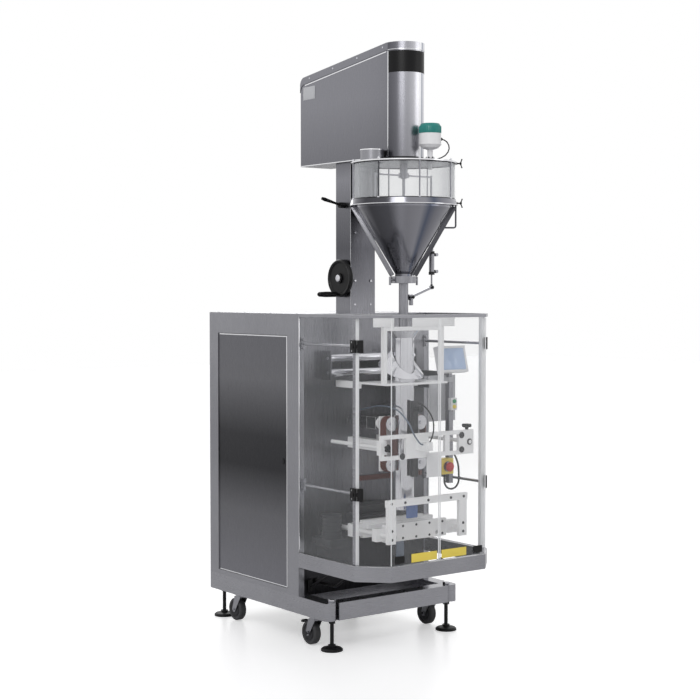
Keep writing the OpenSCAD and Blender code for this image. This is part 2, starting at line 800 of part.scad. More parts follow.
// A jaw: side 1 lies in front of the film, side -1 behind it.
module jaw_plate(s) {
    y0 = fill_y - s * (jaw_gap + seal_t) - (s > 0 ? jaw_t : 0);
    color("white") difference() {
        union() {
            block([-guide_x + 26, y0, jaw_z - jaw_h / 2], [2 * guide_x - 52, jaw_t, jaw_h]);
            for (x = [-guide_x, guide_x])
                block([x - 27, s > 0 ? y0 - 12 : y0, jaw_z - 26], [54, jaw_t + 12, 52]);
        }
        for (x = [-guide_x, guide_x]) rod_y([x, y0 - 20, jaw_z], jaw_t + 40, guide_r + 0.3);
        for (x = [-jaw_len / 3, jaw_len / 3]) rod_y([x, y0 - 1, jaw_z - 18], jaw_t + 2, 8);
    }
}

// Sealing bar with horizontal serrations on the face towards the film.
module seal_bar(s) {
    pitch = 4;
    count = floor(seal_h / 2 / pitch) - 1;
    color("silver") for (k = [-1, 1])
        translate([-seal_len / 2, fill_y - s * jaw_gap, jaw_z + k * (seal_h / 4 + knife_t / 2 + knife_gap)])
            rotate([90, 0, 90]) linear_extrude(seal_len) difference() {
                translate([s > 0 ? -seal_t : 0, -seal_h / 4]) square([seal_t, seal_h / 2]);
                for (i = [0:count]) translate([0, -seal_h / 4 + pitch * (i + 0.7)])
                    rotate(45) square(2, center = true);
            }
}

module front_jaw() {
    jaw_plate(1);
    seal_bar(1);
}
module rear_jaw() {
    jaw_plate(-1);
    seal_bar(-1);
}

// The toothed knife lies between the front jaw's two bars.
module knife() {
    tooth = 6;
    teeth = floor((seal_len - 20) / tooth);
    back = fill_y - jaw_gap - seal_t + 0.3;
    deep = seal_t - 3.3;
    color("silver") translate([-teeth * tooth / 2, back, jaw_z - knife_t / 2]) linear_extrude(knife_t)
        polygon(concat([[0, 0], [0, deep - 5]],
            [for (i = [0:teeth - 1], p = [0, 1]) p == 0
                ? [tooth * (i + 0.5), deep] : [tooth * (i + 1), deep - 5]],
            [[teeth * tooth, 0]]));
}

// The jaws' gear motor stands beside them on an arm from the front plate.
module jaw_motor() {
    color("dimgray") translate([-side_x + 52, plate_y - 150, jaw_z - 72]) {
        block([0, 0, 0], [84, 100, 34]);
        translate([42, 50, 34]) cylinder(h = 96, r = 38);
        for (k = [0:5]) translate([42, 50, 42 + k * 14]) cylinder(h = 5, r = 42);
        block([20, 100 - eps, 4], [44, 50 + eps, 26]);
    }
}

// Film supply inside the cabinet

module film_reel() {
    color("white") translate([0, reel_y, reel_z]) rotate([0, 90, 0]) difference() {
        translate([0, 0, -reel_w / 2]) cylinder(h = reel_w, r = reel_r);
        translate([0, 0, -reel_w / 2 - 1]) cylinder(h = reel_w + 2, r = reel_shaft_r + 0.3);
    }
}

module reel_stand() {
    color("silver") {
        rod_x([-reel_arm_x - 20, reel_y, reel_z], 2 * reel_arm_x + 40, reel_shaft_r);
        both_sides() {
            difference() {
                block([reel_arm_x - 6, plate_y + sheet_t, reel_z - 30], [12, reel_y - plate_y + 20, 60]);
                rod_x([reel_arm_x - 10, reel_y, reel_z], 20, reel_shaft_r);
            }
            rod_x([reel_w / 2 + 1, reel_y, reel_z], 14, 42);
        }
    }
}

// Controls

module control_bracket() {
    color("silver") {
        block([side_x - 62, control_y, 1090], [16, plate_y - control_y, 24]);
        block([side_x - 62, screen_pos[1] + 14, 1090], [16, 28, 92]);
        block([side_x - 68, control_y - 24, 640], [22, 24, 430]);
        block([side_x - 68, control_y - eps, 1040], [22, plate_y - control_y + eps, 30]);
        difference() {
            union() {
                block([side_x - 62, screen_pos[1], screen_pos[2] - 11], [16, 20, 22]);
                rod_x([side_x - 62, screen_pos[1], screen_pos[2]], 16, 11);
            }
            rod_x([side_x - 63, screen_pos[1], screen_pos[2]], 18, 6.3);
        }
    }
    stop_box();
}

module touch_screen() {
    color("gainsboro") translate(screen_pos) rotate([screen_tilt, 0, 0]) {
        difference() {
            block([-screen_w / 2, -46, -screen_h / 2], [screen_w, 30, screen_h]);
            block([-screen_w / 2 + 10, -47, -screen_h / 2 + 10], [screen_w - 20, 3, screen_h - 20]);
        }
        rod_x([-10, 0, 0], side_x - 44 - screen_pos[0] + 10, 6);
        block([-12, -16 - eps, -8], [24, 17, 16]);
    }
}

module stop_box() {
    color("gold") difference() {
        block([stop_pos[0] - 32, stop_pos[1], stop_pos[2] - 32], [64, 46, 64]);
        rod_y([stop_pos[0], stop_pos[1] - 1, stop_pos[2]], 30, 8.4);
    }
}

module stop_button() {
    color("red") translate(stop_pos) {
        rotate([90, 0, 0]) rotate_extrude()
            polygon([[0, 6], [12, 6], [16, 10], [20, 14], [20, 20], [16, 24], [0, 25]]);
        rod_y([0, -7, 0], 20, 8);
    }
}

// Column and lift

module column() {
    color("silver") difference() {
        block([-column_w / 2, column_front_y, machine_h], [column_w, column_d, column_top - machine_h]);
        block([-column_w / 2 + column_wall, column_front_y + column_wall, machine_h + 8],
            [column_w - 2 * column_wall, column_d - 2 * column_wall, column_top]);
        block([-slot_w / 2, column_front_y - 1, flange_low_z - 60], [slot_w, column_wall + 2, lift_travel + 120]);
        rod_z([0, column_mid_y, machine_h - 1], 12, screw_r + 0.3);
        rod_x([-column_w / 2 - 1, column_mid_y, wheel_axis_z], column_wall + 2, wheel_shaft_r + 0.3);
    }
    color("black") for (z = [wheel_axis_z - 10, flange_low_z - 100], x = [-42, 42])
        translate([x, column_front_y + eps, z]) rotate([90, 0, 0]) cylinder(h = 3, r = 6);
    column_cap();
}

module column_cap() {
    color("silver") difference() {
        block([-column_w / 2, column_front_y, column_top], [column_w, column_d, 5]);
        rod_z([0, column_mid_y, column_top - 1], 7, screw_r - 4 + 0.3);
    }
}

module lift_screw() {
    z0 = machine_h + 0.5;
    color("silver") translate([0, column_mid_y, 0]) {
        rod_z([0, 0, z0], column_top - 1 - z0, screw_r);
        rod_z([0, 0, column_top - 2], 14, screw_r - 4);
        translate([0, 0, wheel_axis_z - 40]) cylinder(h = 16, r1 = 34, r2 = 22);
    }
}

module handwheel() {
    hub = 22;
    color("black") translate([-column_w / 2, column_mid_y, wheel_axis_z]) rotate([0, -90, 0]) {
        translate([0, 0, -column_wall - 4]) cylinder(h = column_wall + 16, r = wheel_shaft_r);
        translate([0, 0, 1]) cylinder(h = 26, r = hub);
        translate([0, 0, 12]) rotate_extrude() polygon([[hub - 4, 0], [wheel_r - 16, 4], [wheel_r - 12, -4],
            [wheel_r - 3, -6], [wheel_r, 0], [wheel_r, 8], [wheel_r - 4, 14], [wheel_r - 12, 12],
            [wheel_r - 16, 8], [hub - 4, 8]]);
        translate([-(wheel_r - 12), 0, 20]) cylinder(h = crank_len + 8, r = 4.7);
    }
}

module crank_grip() {
    color("black") translate([-column_w / 2 - 32, column_mid_y, wheel_axis_z - wheel_r + 12]) rotate([0, -90, 0])
        rotate_extrude() polygon([[5, 0], [9, 0], [11, 8], [12, crank_len * 0.6], [10, crank_len - 6],
            [6, crank_len], [5, crank_len]]);
}

// Lift block: it rides on the screw inside the column and carries the filler through the slot.
module lift_block() {
    color("dimgray") difference() {
        union() {
            block([-block_w / 2 + 6, column_front_y - 1, flange_low_z - 30], [block_w - 12, column_wall + 3, 54]);
            block([-36, column_front_y + column_wall + 0.5, flange_low_z - 40], [72, 62, 74]);
            block([-block_w / 2 - 14, column_front_y - 62, flange_low_z - 34], [block_w + 28, 61.5, 58]);
        }
        rod_z([0, column_mid_y, flange_low_z - 50], 120, screw_r + 0.3);
        translate([0, fill_y, flange_low_z - 50]) cylinder(h = 120, r = ring_r + 10.2, $fn = 96);
    }
    color("silver") for (s = [-1, 1])
        block([s * 46 - 6, column_front_y - 40, flange_low_z + 24], [12, 30, head_low_z - flange_low_z - 24]);
}

module lock_lever() {
    color("black") translate([-column_w / 2 - 0.3, column_mid_y - 8, flange_low_z + 16]) rotate([0, -90, 0]) {
        cylinder(h = 26, r = 12);
        translate([0, 0, 18]) rotate([0, 14, 0])
            rotate_extrude() polygon([[0, 0], [7, 0], [5, 30], [8, 88], [6, 102], [0, 105]]);
    }
}

// Filler head

module head_plan(t) {
    translate([-head_r + t, fill_y]) square([2 * (head_r - t), head_len - t]);
    translate([0, fill_y]) circle(r = head_r - t, $fn = 96);
}

// The head's side view, from the back to the front, with a rounded corner at the back.
module head_side(z0, rise, back, front) {
    r = 34;
    translate([back_head_y - r, z0 + rise - r]) circle(r = r);
    polygon([[back_head_y, z0], [back_head_y, z0 + rise - r], [back_head_y - r, z0 + rise],
        [fill_y + 10, z0 + rise + front - back], [fill_y - head_r - 1, z0 + rise + front - back],
        [fill_y - head_r - 1, z0]]);
}

module head_solid(t, z0, rise_back, rise_front) {
    intersection() {
        translate([0, 0, z0 - 1]) linear_extrude(head_top) head_plan(t);
        translate([-head_r - 1, 0, 0]) rotate([90, 0, 90]) linear_extrude(2 * head_r + 2)
            head_side(z0, rise_back, rise_back, rise_front);
    }
}

module head_housing() {
    head_lid();
    head_hatch();
    head_gasket();
    color("silver") difference() {
        head_solid(0, head_low_z, head_back_h, head_front_h);
        head_solid(sheet_t, head_low_z + sheet_t, head_back_h, head_front_h);
        block([-column_w / 2 - run_gap - 1, column_front_y - 42, head_low_z - 1],
            [column_w + 2 * run_gap + 2, column_d + 46, sheet_t + 2]);
        rod_z([0, fill_y, head_low_z - 1], 10, sleeve_r + 0.4);
    }
}

module cap_body(t, up, drop) {
    intersection() {
        translate([0, 0, head_low_z]) linear_extrude(head_top) head_plan(t);
        translate([-head_r - 3, 0, 0]) rotate([90, 0, 90]) linear_extrude(2 * head_r + 6) difference() {
            head_cap_side(up);
            head_cap_side(drop);
        }
    }
}

module head_lid() {
    color("silver") translate([0, 0, 0.3]) difference() {
        cap_body(-2, head_lid_h, 0);
        cap_body(sheet_t, head_lid_h - sheet_t, -5);
    }
}

module head_cap_side(up) {
    r = 34;
    zb = head_low_z + head_back_h + up;
    zf = head_low_z + head_front_h + up;
    translate([back_head_y - r + 2, zb - r]) circle(r = r);
    polygon([[back_head_y + 2, head_low_z + 200], [back_head_y + 2, zb - r], [back_head_y - r + 2, zb],
        [fill_y + 10, zf], [fill_y - head_r - 4, zf], [fill_y - head_r - 4, head_low_z + 200]]);
}

module head_hatch() {
    slope = atan2(head_front_h - head_back_h, head_len - 44);
    color("silver") translate([0, fill_y + 330, head_low_z + head_front_h + head_lid_h + 0.3
        - 320 * tan(slope)]) rotate([-slope, 0, 0])
        block([-46, -70, 0], [92, 140, 9]);
}

module head_gasket() {
    color("black") translate([0, fill_y, lid_top + 0.3]) difference() {
        cylinder(h = head_low_z - lid_top - 0.6, r = head_r - 12);
        translate([0, 0, -1]) cylinder(h = 40, r = sleeve_r + 0.4);
    }
}

// Hopper

module hopper_cone() {
    tie_rods();
    color("silver") translate([0, fill_y, 0]) rotate_extrude($fn = 96) polygon([
        [hopper_out - hopper_wall, cone_low_z - 24], [hopper_out + 8, cone_low_z - 24],
        [hopper_out + 8, cone_low_z - 14],
        [hopper_out, cone_low_z - 10], [hopper_out, cone_low_z],
        [cone_r + cone_wall, flange_low_z - 8], [cone_r + cone_wall, flange_low_z], [ring_r + 10, flange_low_z],
        [ring_r + 10, flange_low_z + 3], [ring_r + 4, flange_low_z + flange_h], [cone_r, flange_low_z + flange_h],
        [cone_r, flange_low_z - 8], [hopper_out - hopper_wall, cone_low_z]]);
}

module hopper_window() {
    color("white", 0.4) translate([0, fill_y, ring_z]) difference() {
        cylinder(h = ring_h, r = ring_r, $fn = 96);
        translate([0, 0, -1]) cylinder(h = ring_h + 2, r = ring_r - ring_wall, $fn = 96);
    }
}

module hopper_lid() {
    color("silver") difference() {
        union() {
            translate([0, fill_y, lid_z]) cylinder(h = lid_t, r = ring_r + 6, $fn = 96);
            translate([inlet_pos[0], inlet_pos[1], lid_top - eps]) cylinder(h = inlet_h, r = inlet_r + 3);
        }
        translate([inlet_pos[0], inlet_pos[1], lid_z - 1]) cylinder(h = inlet_h + 20, r = inlet_r);
        rod_z([0, fill_y, lid_z - 1], 20, sleeve_r + 0.4);
        rod_z([sensor_pos[0], sensor_pos[1], lid_z - 1], 20, 9.3);
    }
}

module tie_rods() {
    color("silver") for (a = [22:45:360])
        translate([(ring_r + rod_out) * sin(a), fill_y + (ring_r + rod_out) * cos(a), 0]) {
        rod_z([0, 0, ring_z - 8], ring_h + 7.7, 3);
    }
}

module fill_tube() {
    tube_clamp();
    color("silver") translate([0, fill_y, 0]) rotate_extrude() polygon([
        [fill_r - fill_wall, fill_end_z], [fill_r, fill_end_z], [fill_r, cone_low_z - 34],
        [hopper_out + 8, cone_low_z - 34], [hopper_out + 8, cone_low_z - 24.3],
        [fill_r - fill_wall, cone_low_z - 24.3]]);
}

// The clamp ring joins the cone's lower rim and the fill tube's rim; its handles point out.
module tube_clamp() {
    color("silver") translate([0, fill_y, 0]) {
        rotate_extrude() polygon([[hopper_out + 8.5, cone_low_z - 38], [hopper_out + 16, cone_low_z - 38],
            [hopper_out + 16, cone_low_z - 10], [hopper_out + 8.5, cone_low_z - 10]]);
        for (s = [-1, 1]) translate([s * (hopper_out + 12), 0, cone_low_z - 24]) {
            rod_x([s > 0 ? 0 : -26, 0, 0], 26, 4);
            translate([s * 24, 0, -22]) cylinder(h = 34, r = 4.5);
        }
    }
}

// The screw's flight: a thin helical wall round the shaft.
module helix_flight(r_in, r_out, t, pitch, turns) {
    per_turn = 12;
    n = round(turns * per_turn);
    points = [for (i = [0:n]) let (a = i * 360 / per_turn, z = pitch * i / per_turn)
        for (p = [[r_in, -t / 2], [r_out, -t / 2], [r_out, t / 2], [r_in, t / 2]])
            [p[0] * cos(a), p[0] * sin(a), z + p[1]]];
    walls = [for (i = [0:n - 1], k = [0:3]) let (m = (k + 1) % 4, a = i * 4, b = a + 4)
        each [[a + k, b + m, b + k], [a + k, a + m, b + m]]];
    polyhedron(points, concat(walls, [[3, 2, 1, 0], [4 * n, 4 * n + 1, 4 * n + 2, 4 * n + 3]]));
}

module auger() {
    z0 = fill_end_z - 12;
    color("silver") translate([0, fill_y, 0]) {
        rod_z([0, 0, z0 - 4], lid_z - 40 - z0, auger_core_r);
        rod_z([0, 0, lid_z - 60], head_low_z + 16 - lid_z + 60, auger_r_top);
        translate([0, 0, z0]) helix_flight(auger_core_r - 1.5, fill_r - fill_wall - run_gap, 2.4,
            auger_pitch, (cone_low_z - z0) / auger_pitch);
    }
}

module stirrer() {
    color("silver") translate([0, fill_y, 0]) {
        difference() {
            union() {
                rod_z([0, 0, lid_z - 56], 56 + lid_t + head_low_z - lid_top + 12, sleeve_r);
                rod_z([0, 0, lid_z - 56], 18, sleeve_r + 6);
            }
            rod_z([0, 0, lid_z - 57], 200, auger_r_top + 0.3);
        }
        for (s = [-1, 1]) {
            translate([s > 0 ? sleeve_r + 4 : -stir_r, -5, lid_z - 50]) cube([stir_r - sleeve_r - 4, 10, 6]);
            translate([s * stir_r, 0, flange_low_z - 30]) {
                rod_z([0, 0, 0], lid_z - 41 - flange_low_z + 30, 4);
                sphere(r = 5.5);
                rotate([0, -s * (180 - cone_slope), 0]) rod_z([0, 0, 0], 170, 4);
            }
        }
    }
}

// Level sensor

module level_sensor() {
    sensor_cap();
    color("white") translate([sensor_pos[0], sensor_pos[1], 0]) rotate_extrude() polygon([
        [0, lid_z - 30], [8.9, lid_z - 30], [8.9, lid_top + 0.3], [16, lid_top + 0.3], [16, lid_top + 14],
        [11, lid_top + 16], [11, lid_top + 42], [sensor_r - 10, lid_top + 50], [sensor_r, lid_top + 62],
        [sensor_r, sensor_top - 0.3], [0, sensor_top - 0.3]]);
}

module sensor_cap() {
    color("teal") translate([sensor_pos[0], sensor_pos[1], 0]) rotate_extrude() polygon([
        [0, sensor_top], [sensor_r - 2, sensor_top], [sensor_r - 2, sensor_top + 30],
        [sensor_r - 8, sensor_top + 38], [0, sensor_top + 38]]);
}

// Drip valve: a flap arm at the tube, worked by a small cylinder beside the cone.
module drip_arm() {
    color("silver") translate([drip_pos[0], drip_pos[1], drip_pos[2]]) {
        difference() {
            rod_y([0, -8, 0], 16, 11);
            rod_y([0, -9, 0], 18, 5.3);
        }
        rotate([0, -drip_lift, 0]) block([9, -4, -5], [drip_len - 14, 8, 10]);
        translate([drip_len * cos(drip_lift), 0, drip_len * sin(drip_lift)]) rod_y([0, -7, 0], 14, 8);
        block([-5, -8, -34], [10, 16, 25]);
    }
}

module drip_cylinder() {
    cone_strut();
    x = drip_pos[0] + drip_len * cos(drip_lift);
    z = drip_pos[2] + drip_len * sin(drip_lift);
    color("white") translate([x, drip_pos[1], z]) {
        rod_z([0, 0, 14], 40, 3.5);
        rod_z([0, 0, 54], 96, 11);
        rod_z([0, 0, 150], 16, 7);
        for (k = [66, 136]) {
            rod_x([9, 0, k], 18, 5);
            translate([24, 0, k]) rotate([90, 0, 0]) translate([0, 0, -7]) cylinder(h = 14, r = 7);
        }
    }
}

// A strut beside the cone and a bent rod under the flange carry the drip cylinder.
module cone_strut() {
    z0 = cone_low_z - 5;
    x0 = strut_x(z0);
    x = drip_pos[0] + drip_len * cos(drip_lift);
    z = drip_pos[2] + drip_len * sin(drip_lift) + 166;
    color("silver") {
        difference() {
            union() {
                translate([x0, fill_y, z0]) rotate([0, cone_slope, 0]) rod_z([0, 0, 0], 345, 6);
                rod_x([strut_x(bent_z), fill_y, bent_z], ring_r + 4 - strut_x(bent_z), 4);
                rod_z([ring_r + 4, fill_y, bent_z], flange_low_z - bent_z, 4);
                translate([ring_r + 4, fill_y, bent_z]) sphere(r = 4);
                block([strut_x(z), fill_y - 8, z + 0.3], [x - strut_x(z) + 8, 16, 10]);
            }
            translate([0, fill_y - 20, flange_low_z]) cube([400, 40, 60]);
        }
        rod_y([drip_pos[0], drip_pos[1] - 14, drip_pos[2]], 30, 5);
        difference() {
            block([fill_r - 12, drip_pos[1] + 9, drip_pos[2] - 12], [drip_pos[0] - fill_r + 22, 6, 24]);
            rod_z([0, fill_y, drip_pos[2] - 20], 40, fill_r + 0.3);
        }
    }
}
function strut_x(z) = cone_r + cone_wall + 14 - (flange_low_z - 8 - z) * tan(cone_slope);

// A round cord along a route, as one closed tube with flat ends.
function unit(v) = v / norm(v);
function tangent(p, i) = unit(p[min(i + 1, len(p) - 1)] - p[max(i - 1, 0)]);
module cord_tube(route, r, sides) {
    n = len(route);
    points = [for (i = [0:n - 1])
        let (t = tangent(route, i), u = unit(cross(t, [0.13, 0.2, 1])), v = cross(t, u))
        for (k = [0:sides - 1]) route[i] + r * (cos(k * 360 / sides) * u + sin(k * 360 / sides) * v)];
    walls = [for (i = [0:n - 2], k = [0:sides - 1])
        let (m = (k + 1) % sides, a = i * sides, b = a + sides)
            each [[a + k, a + m, b + m], [a + k, b + m, b + k]]];
    ends = [[for (k = [sides - 1:-1:0]) k], [for (k = [0:sides - 1]) (n - 1) * sides + k]];
    polyhedron(points, concat(walls, ends));
}

module sensor_cable() {
    color("black") cord_tube(cable_route, cable_r, 8);
}

base_frame();
levelling_feet();
rear_castor_forks();
left_castor_fork();
right_castor_fork();
rear_left_wheel();
rear_right_wheel();
front_left_wheel();
front_right_wheel();
cabinet_frame();
front_plate();
left_service_panel();
right_service_panel();
rear_door();
guard_frame();
guard_panes();
hinge_clamps();
left_guard_door();
right_guard_door();
left_door_fittings();
right_door_fittings();
forming_tube();
forming_collar();
collar_stand();
lower_idler();
upper_idler();
pull_belts();
left_drive_pulley();
right_drive_pulley();
left_tail_pulley();
right_tail_pulley();
belt_carriers();
sealer_bridge();
vertical_sealer();
jaw_guides();
front_jaw();
rear_jaw();
knife();
film_reel();
reel_stand();
control_bracket();
touch_screen();
stop_button();
column();
lift_screw();
handwheel();
crank_grip();
lift_block();
lock_lever();
head_housing();
hopper_cone();
hopper_window();
hopper_lid();
fill_tube();
auger();
stirrer();
level_sensor();
sensor_cable();
drip_arm();
drip_cylinder();
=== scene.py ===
"""The looks of a vertical form fill seal machine with an auger filler."""

import json
import math

import bpy
from mathutils import Matrix, Vector


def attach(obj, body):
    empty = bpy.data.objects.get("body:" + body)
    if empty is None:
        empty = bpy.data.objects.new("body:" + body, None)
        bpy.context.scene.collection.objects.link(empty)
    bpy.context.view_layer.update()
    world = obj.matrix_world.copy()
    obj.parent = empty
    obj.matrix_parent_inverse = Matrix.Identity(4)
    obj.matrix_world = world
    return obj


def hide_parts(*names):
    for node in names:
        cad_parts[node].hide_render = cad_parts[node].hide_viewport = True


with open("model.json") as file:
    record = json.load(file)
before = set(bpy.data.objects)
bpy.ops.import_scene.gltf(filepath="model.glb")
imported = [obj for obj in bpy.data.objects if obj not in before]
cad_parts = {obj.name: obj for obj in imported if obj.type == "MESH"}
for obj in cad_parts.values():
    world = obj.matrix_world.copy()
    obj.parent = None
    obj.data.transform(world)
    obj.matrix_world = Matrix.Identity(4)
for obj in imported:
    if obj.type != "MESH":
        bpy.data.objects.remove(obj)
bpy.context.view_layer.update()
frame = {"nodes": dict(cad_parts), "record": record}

bl_info = {
    "name": "Vertical form fill seal machine",
    "version": (1, 0, 0),
    "blender": (4, 5, 0),
    "location": "View3D > Sidebar > Bagger",
    "description": "Dresses the machine's solids and adds its visible details",
    "category": "Object",
}

# Lengths below are in millimetres, in the frame's axes: x to the right, y to the back, z up
MM = 0.001
NODES = frame["nodes"]
# The filling axis stands upright at x = 0 and this y; the head and the hopper are round it
FILL_Y = -354.5
FRONT_PLATE_Y = -102.5
GUARD_TOP_Z = 1363.6
GUARD_LOW_Z = 378.6
GUARD_FRONT_Y = -583


# Settings


def linear(hex_code):
    """An sRGB hex colour as linear red, green, blue and alpha."""
    rgb = [int(hex_code[i : i + 2], 16) / 255 for i in (1, 3, 5)]
    return [c / 12.92 if c <= 0.04045 else ((c + 0.055) / 1.055) ** 2.4 for c in rgb] + [1.0]


def colour(name, description, hex_code):
    """A colour that a user can change."""
    return bpy.props.FloatVectorProperty(
        name=name,
        description=description,
        default=linear(hex_code),
        size=4,
        subtype="COLOR",
        min=0,
        max=1,
    )


def length(name, description, size_mm):
    """A length that a user can change."""
    return bpy.props.FloatProperty(
        name=name, description=description, default=size_mm * MM, unit="LENGTH", min=MM / 2
    )


def angle(name, description, degrees):
    """An angle that a user can change."""
    return bpy.props.FloatProperty(
        name=name, description=description, default=math.radians(degrees), unit="ROTATION"
    )


def watts(name, description, power):
    """A lamp's power that a user can change."""
    return bpy.props.FloatProperty(
        name=name, description=description, default=power, unit="POWER", min=0
    )


class FinishSettings(bpy.types.PropertyGroup):
    """Colours of the painted, moulded and glass pieces."""

    enamel: colour("Enamel", "White enamel of the sealing frames and stands", "#FAFAFB")
    cast: colour("Cast enamel", "Dark enamel of the gear motors", "#26262A")
    signal: colour("Signal", "Yellow of the stop box and of the strips on the doors", "#F7DE5C")
    button: colour("Stop button", "Red plastic of the stop button", "#D22222")
    cap: colour("Sensor cap", "Green plastic cap of the level sensor", "#1F8B84")
    belt: colour("Pull belts", "Brown rubber of the pull belts", "#633229")
    pad: colour("Pad", "Blue silicone pad above the jaws", "#4A67A0")
    hose: colour("Hose", "Blue-grey of the left air hose and the film guide", "#667385")
    screen: colour("Screen", "Glass of the touch screen", "#BDD2F2")


class DetailSettings(bpy.types.PropertyGroup):
    """Sizes of the small pieces."""

    screw: length("Screw heads", "Radius of the roof's and the column's screw heads", 5)
    lid_screw: length("Lid screws", "Radius of the screw heads on the filler's head", 4)
    clamp_screw: length("Clamp screws", "Radius of the screw heads on the guard's hinges", 3)
    bent_rod: length("Bent rod", "Radius of the bent rod below the hopper's flange", 3.6)
    sensor_lead: length("Sensor lead", "Radius of the level sensor's lead", 2.5)
    stop_lead: length("Stop lead", "Radius of the stop button's lead", 4)
    air_hose: length("Air hoses", "Radius of the air hoses", 3)
    star_knob: length("Star knob", "Radius of the large star knob on the sealer's bridge", 21)
    strip: length("Door strips", "Height of the bare strips at the doors' feet", 34)
    motor_fins: bpy.props.IntProperty(
        name="Motor fins",
        description="Cooling fins round the jaws' gear motor",
        default=7,
        min=1,
        max=7,
    )


class StageSettings(bpy.types.PropertyGroup):
    """Where the camera stands, and the lamps."""

    eye: bpy.props.FloatVectorProperty(
        name="Eye",
        description="Place of the camera",
        default=(-3.784, -4.994, 1.45),
        subtype="XYZ",
        unit="LENGTH",
    )
    turn: angle("Turn", "Turn of the view to the right", 37.1)
    dip: angle("Dip", "Dip of the view below level", 2.25)
    lens: bpy.props.FloatProperty(
        name="Lens", description="Focal length of the camera", default=75, unit="CAMERA", min=1
    )
    key: watts("Key", "Power of the lamp at the left", 90)
    fill: watts("Fill", "Power of the lamp at the right", 14)
    back: watts("Back", "Power of the lamp behind", 60)
    floor: colour("Floor", "Pale painted floor", "#FAFAFB")


# Materials


def add_node(tree, kind, inputs=None, links=None, **settings):
    """Adds a shader node with its settings, socket values and links."""
    node = tree.nodes.new(kind)
    for key, value in settings.items():
        setattr(node, key, value)
    for key, value in (inputs or {}).items():
        node.inputs[key].default_value = value
    for key, source in (links or {}).items():
        tree.links.new(source, node.inputs[key])
    return node


def new_material(name, **inputs):
    """A material with one Principled shader, whose sockets are set directly."""
    material = bpy.data.materials.new(name)
    material.use_nodes = True
    tree = material.node_tree
    shader = tree.nodes["Principled BSDF"]
    for key, value in inputs.items():
        shader.inputs[key.replace("_", " ")].default_value = value
    return material, tree, shader


def marks(tree, per_mm, stretch=(1, 1, 1)):
    """Uneven marks, so many to a millimetre, drawn out along the axis where stretch is small."""
    place = add_node(tree, "ShaderNodeTexCoord")
    scaled = add_node(
        tree,
        "ShaderNodeMapping",
        inputs={"Scale": [per_mm / MM * s for s in stretch]},
        links={"Vector": place.outputs["Object"]},
    )
    noise = add_node(
        tree,
        "ShaderNodeTexNoise",
        inputs={"Scale": 1.0, "Detail": 3.0, "Roughness": 0.6},
        links={"Vector": scaled.outputs["Vector"]},
    )
    return noise.outputs["Fac"]


def work_surface(tree, shader, lines, shiny, dull, depth_mm, strength):
    """Marks change the roughness from shiny to dull, and stand out as a fine relief."""
    gloss = add_node(
        tree,
        "ShaderNodeMapRange",
        inputs={"From Min": 0.3, "From Max": 0.7, "To Min": shiny, "To Max": dull},
        links={"Value": lines},
    )
    relief = add_node(
        tree,
        "ShaderNodeBump",
        inputs={"Strength": strength, "Distance": depth_mm * MM},
        links={"Height": lines},
    )
    tree.links.new(gloss.outputs["Result"], shader.inputs["Roughness"])
    tree.links.new(relief.outputs["Normal"], shader.inputs["Normal"])


def cloud_colour(tree, shader, per_mm, dark, light):
    """The colour drifts between two near shades over the surface."""
    mixed = add_node(
        tree,
        "ShaderNodeMix",
        data_type="RGBA",
        inputs={"A": dark, "B": light},
        links={"Factor": marks(tree, per_mm)},
    )
    tree.links.new(mixed.outputs["Result"], shader.inputs["Base Color"])


def brushed_metal(name, dark, light, rough, stretch, per_mm=0.5):
    """Steel brushed with a belt: fine lines along one way and a soft broken gloss.

    The real lines are ten to a millimetre; they are drawn coarser, so that they show.
    """
    material, tree, shader = new_material(name, Metallic=1.0)
    work_surface(tree, shader, marks(tree, per_mm, stretch), rough * 0.8, rough * 1.25, 0.05, 0.12)
    cloud_colour(tree, shader, 0.004, linear(dark), linear(light))
    return material


def moulded(name, light, shade, rough, grit_mm=0.8, depth_mm=0.05, shine=0.5):
    """Plastic, rubber or enamel: an even grit, and patches that are darker by a factor, shade."""
    material, tree, shader = new_material(name, Metallic=0.0, Specular_IOR_Level=shine)
    work_surface(tree, shader, marks(tree, 1 / grit_mm), rough * 0.9, rough * 1.1, depth_mm, 0.25)
    cloud_colour(tree, shader, 0.01, [c * shade for c in light[:3]] + [1.0], light)
    return material


def clear_sheet(name, tone, low, high):
    """Cast acrylic: nearly clear face on, and white where it is seen at a slant, a painted sheen
    for its reflection.
    """
    material, tree, shader = new_material(
        name, Base_Color=linear(tone), Roughness=0.06, IOR=1.49, Metallic=0.0
    )
    facing = add_node(tree, "ShaderNodeLayerWeight", inputs={"Blend": 0.32})
    alpha = add_node(
        tree,
        "ShaderNodeMapRange",
        inputs={"From Min": 0.0, "From Max": 1.0, "To Min": low, "To Max": high},
        links={"Value": facing.outputs["Facing"]},
    )
    tree.links.new(alpha.outputs["Result"], shader.inputs["Alpha"])
    return material


def set_stops(ramp, stops):
    """Gives a colour ramp its stops: pairs of a place from 0 to 1 and an sRGB hex colour."""
    for index, (place, hex_code) in enumerate(stops):
        stop = ramp.color_ramp.elements[index] if index < 2 else ramp.color_ramp.elements.new(place)
        stop.position = place
        stop.color = linear(hex_code)


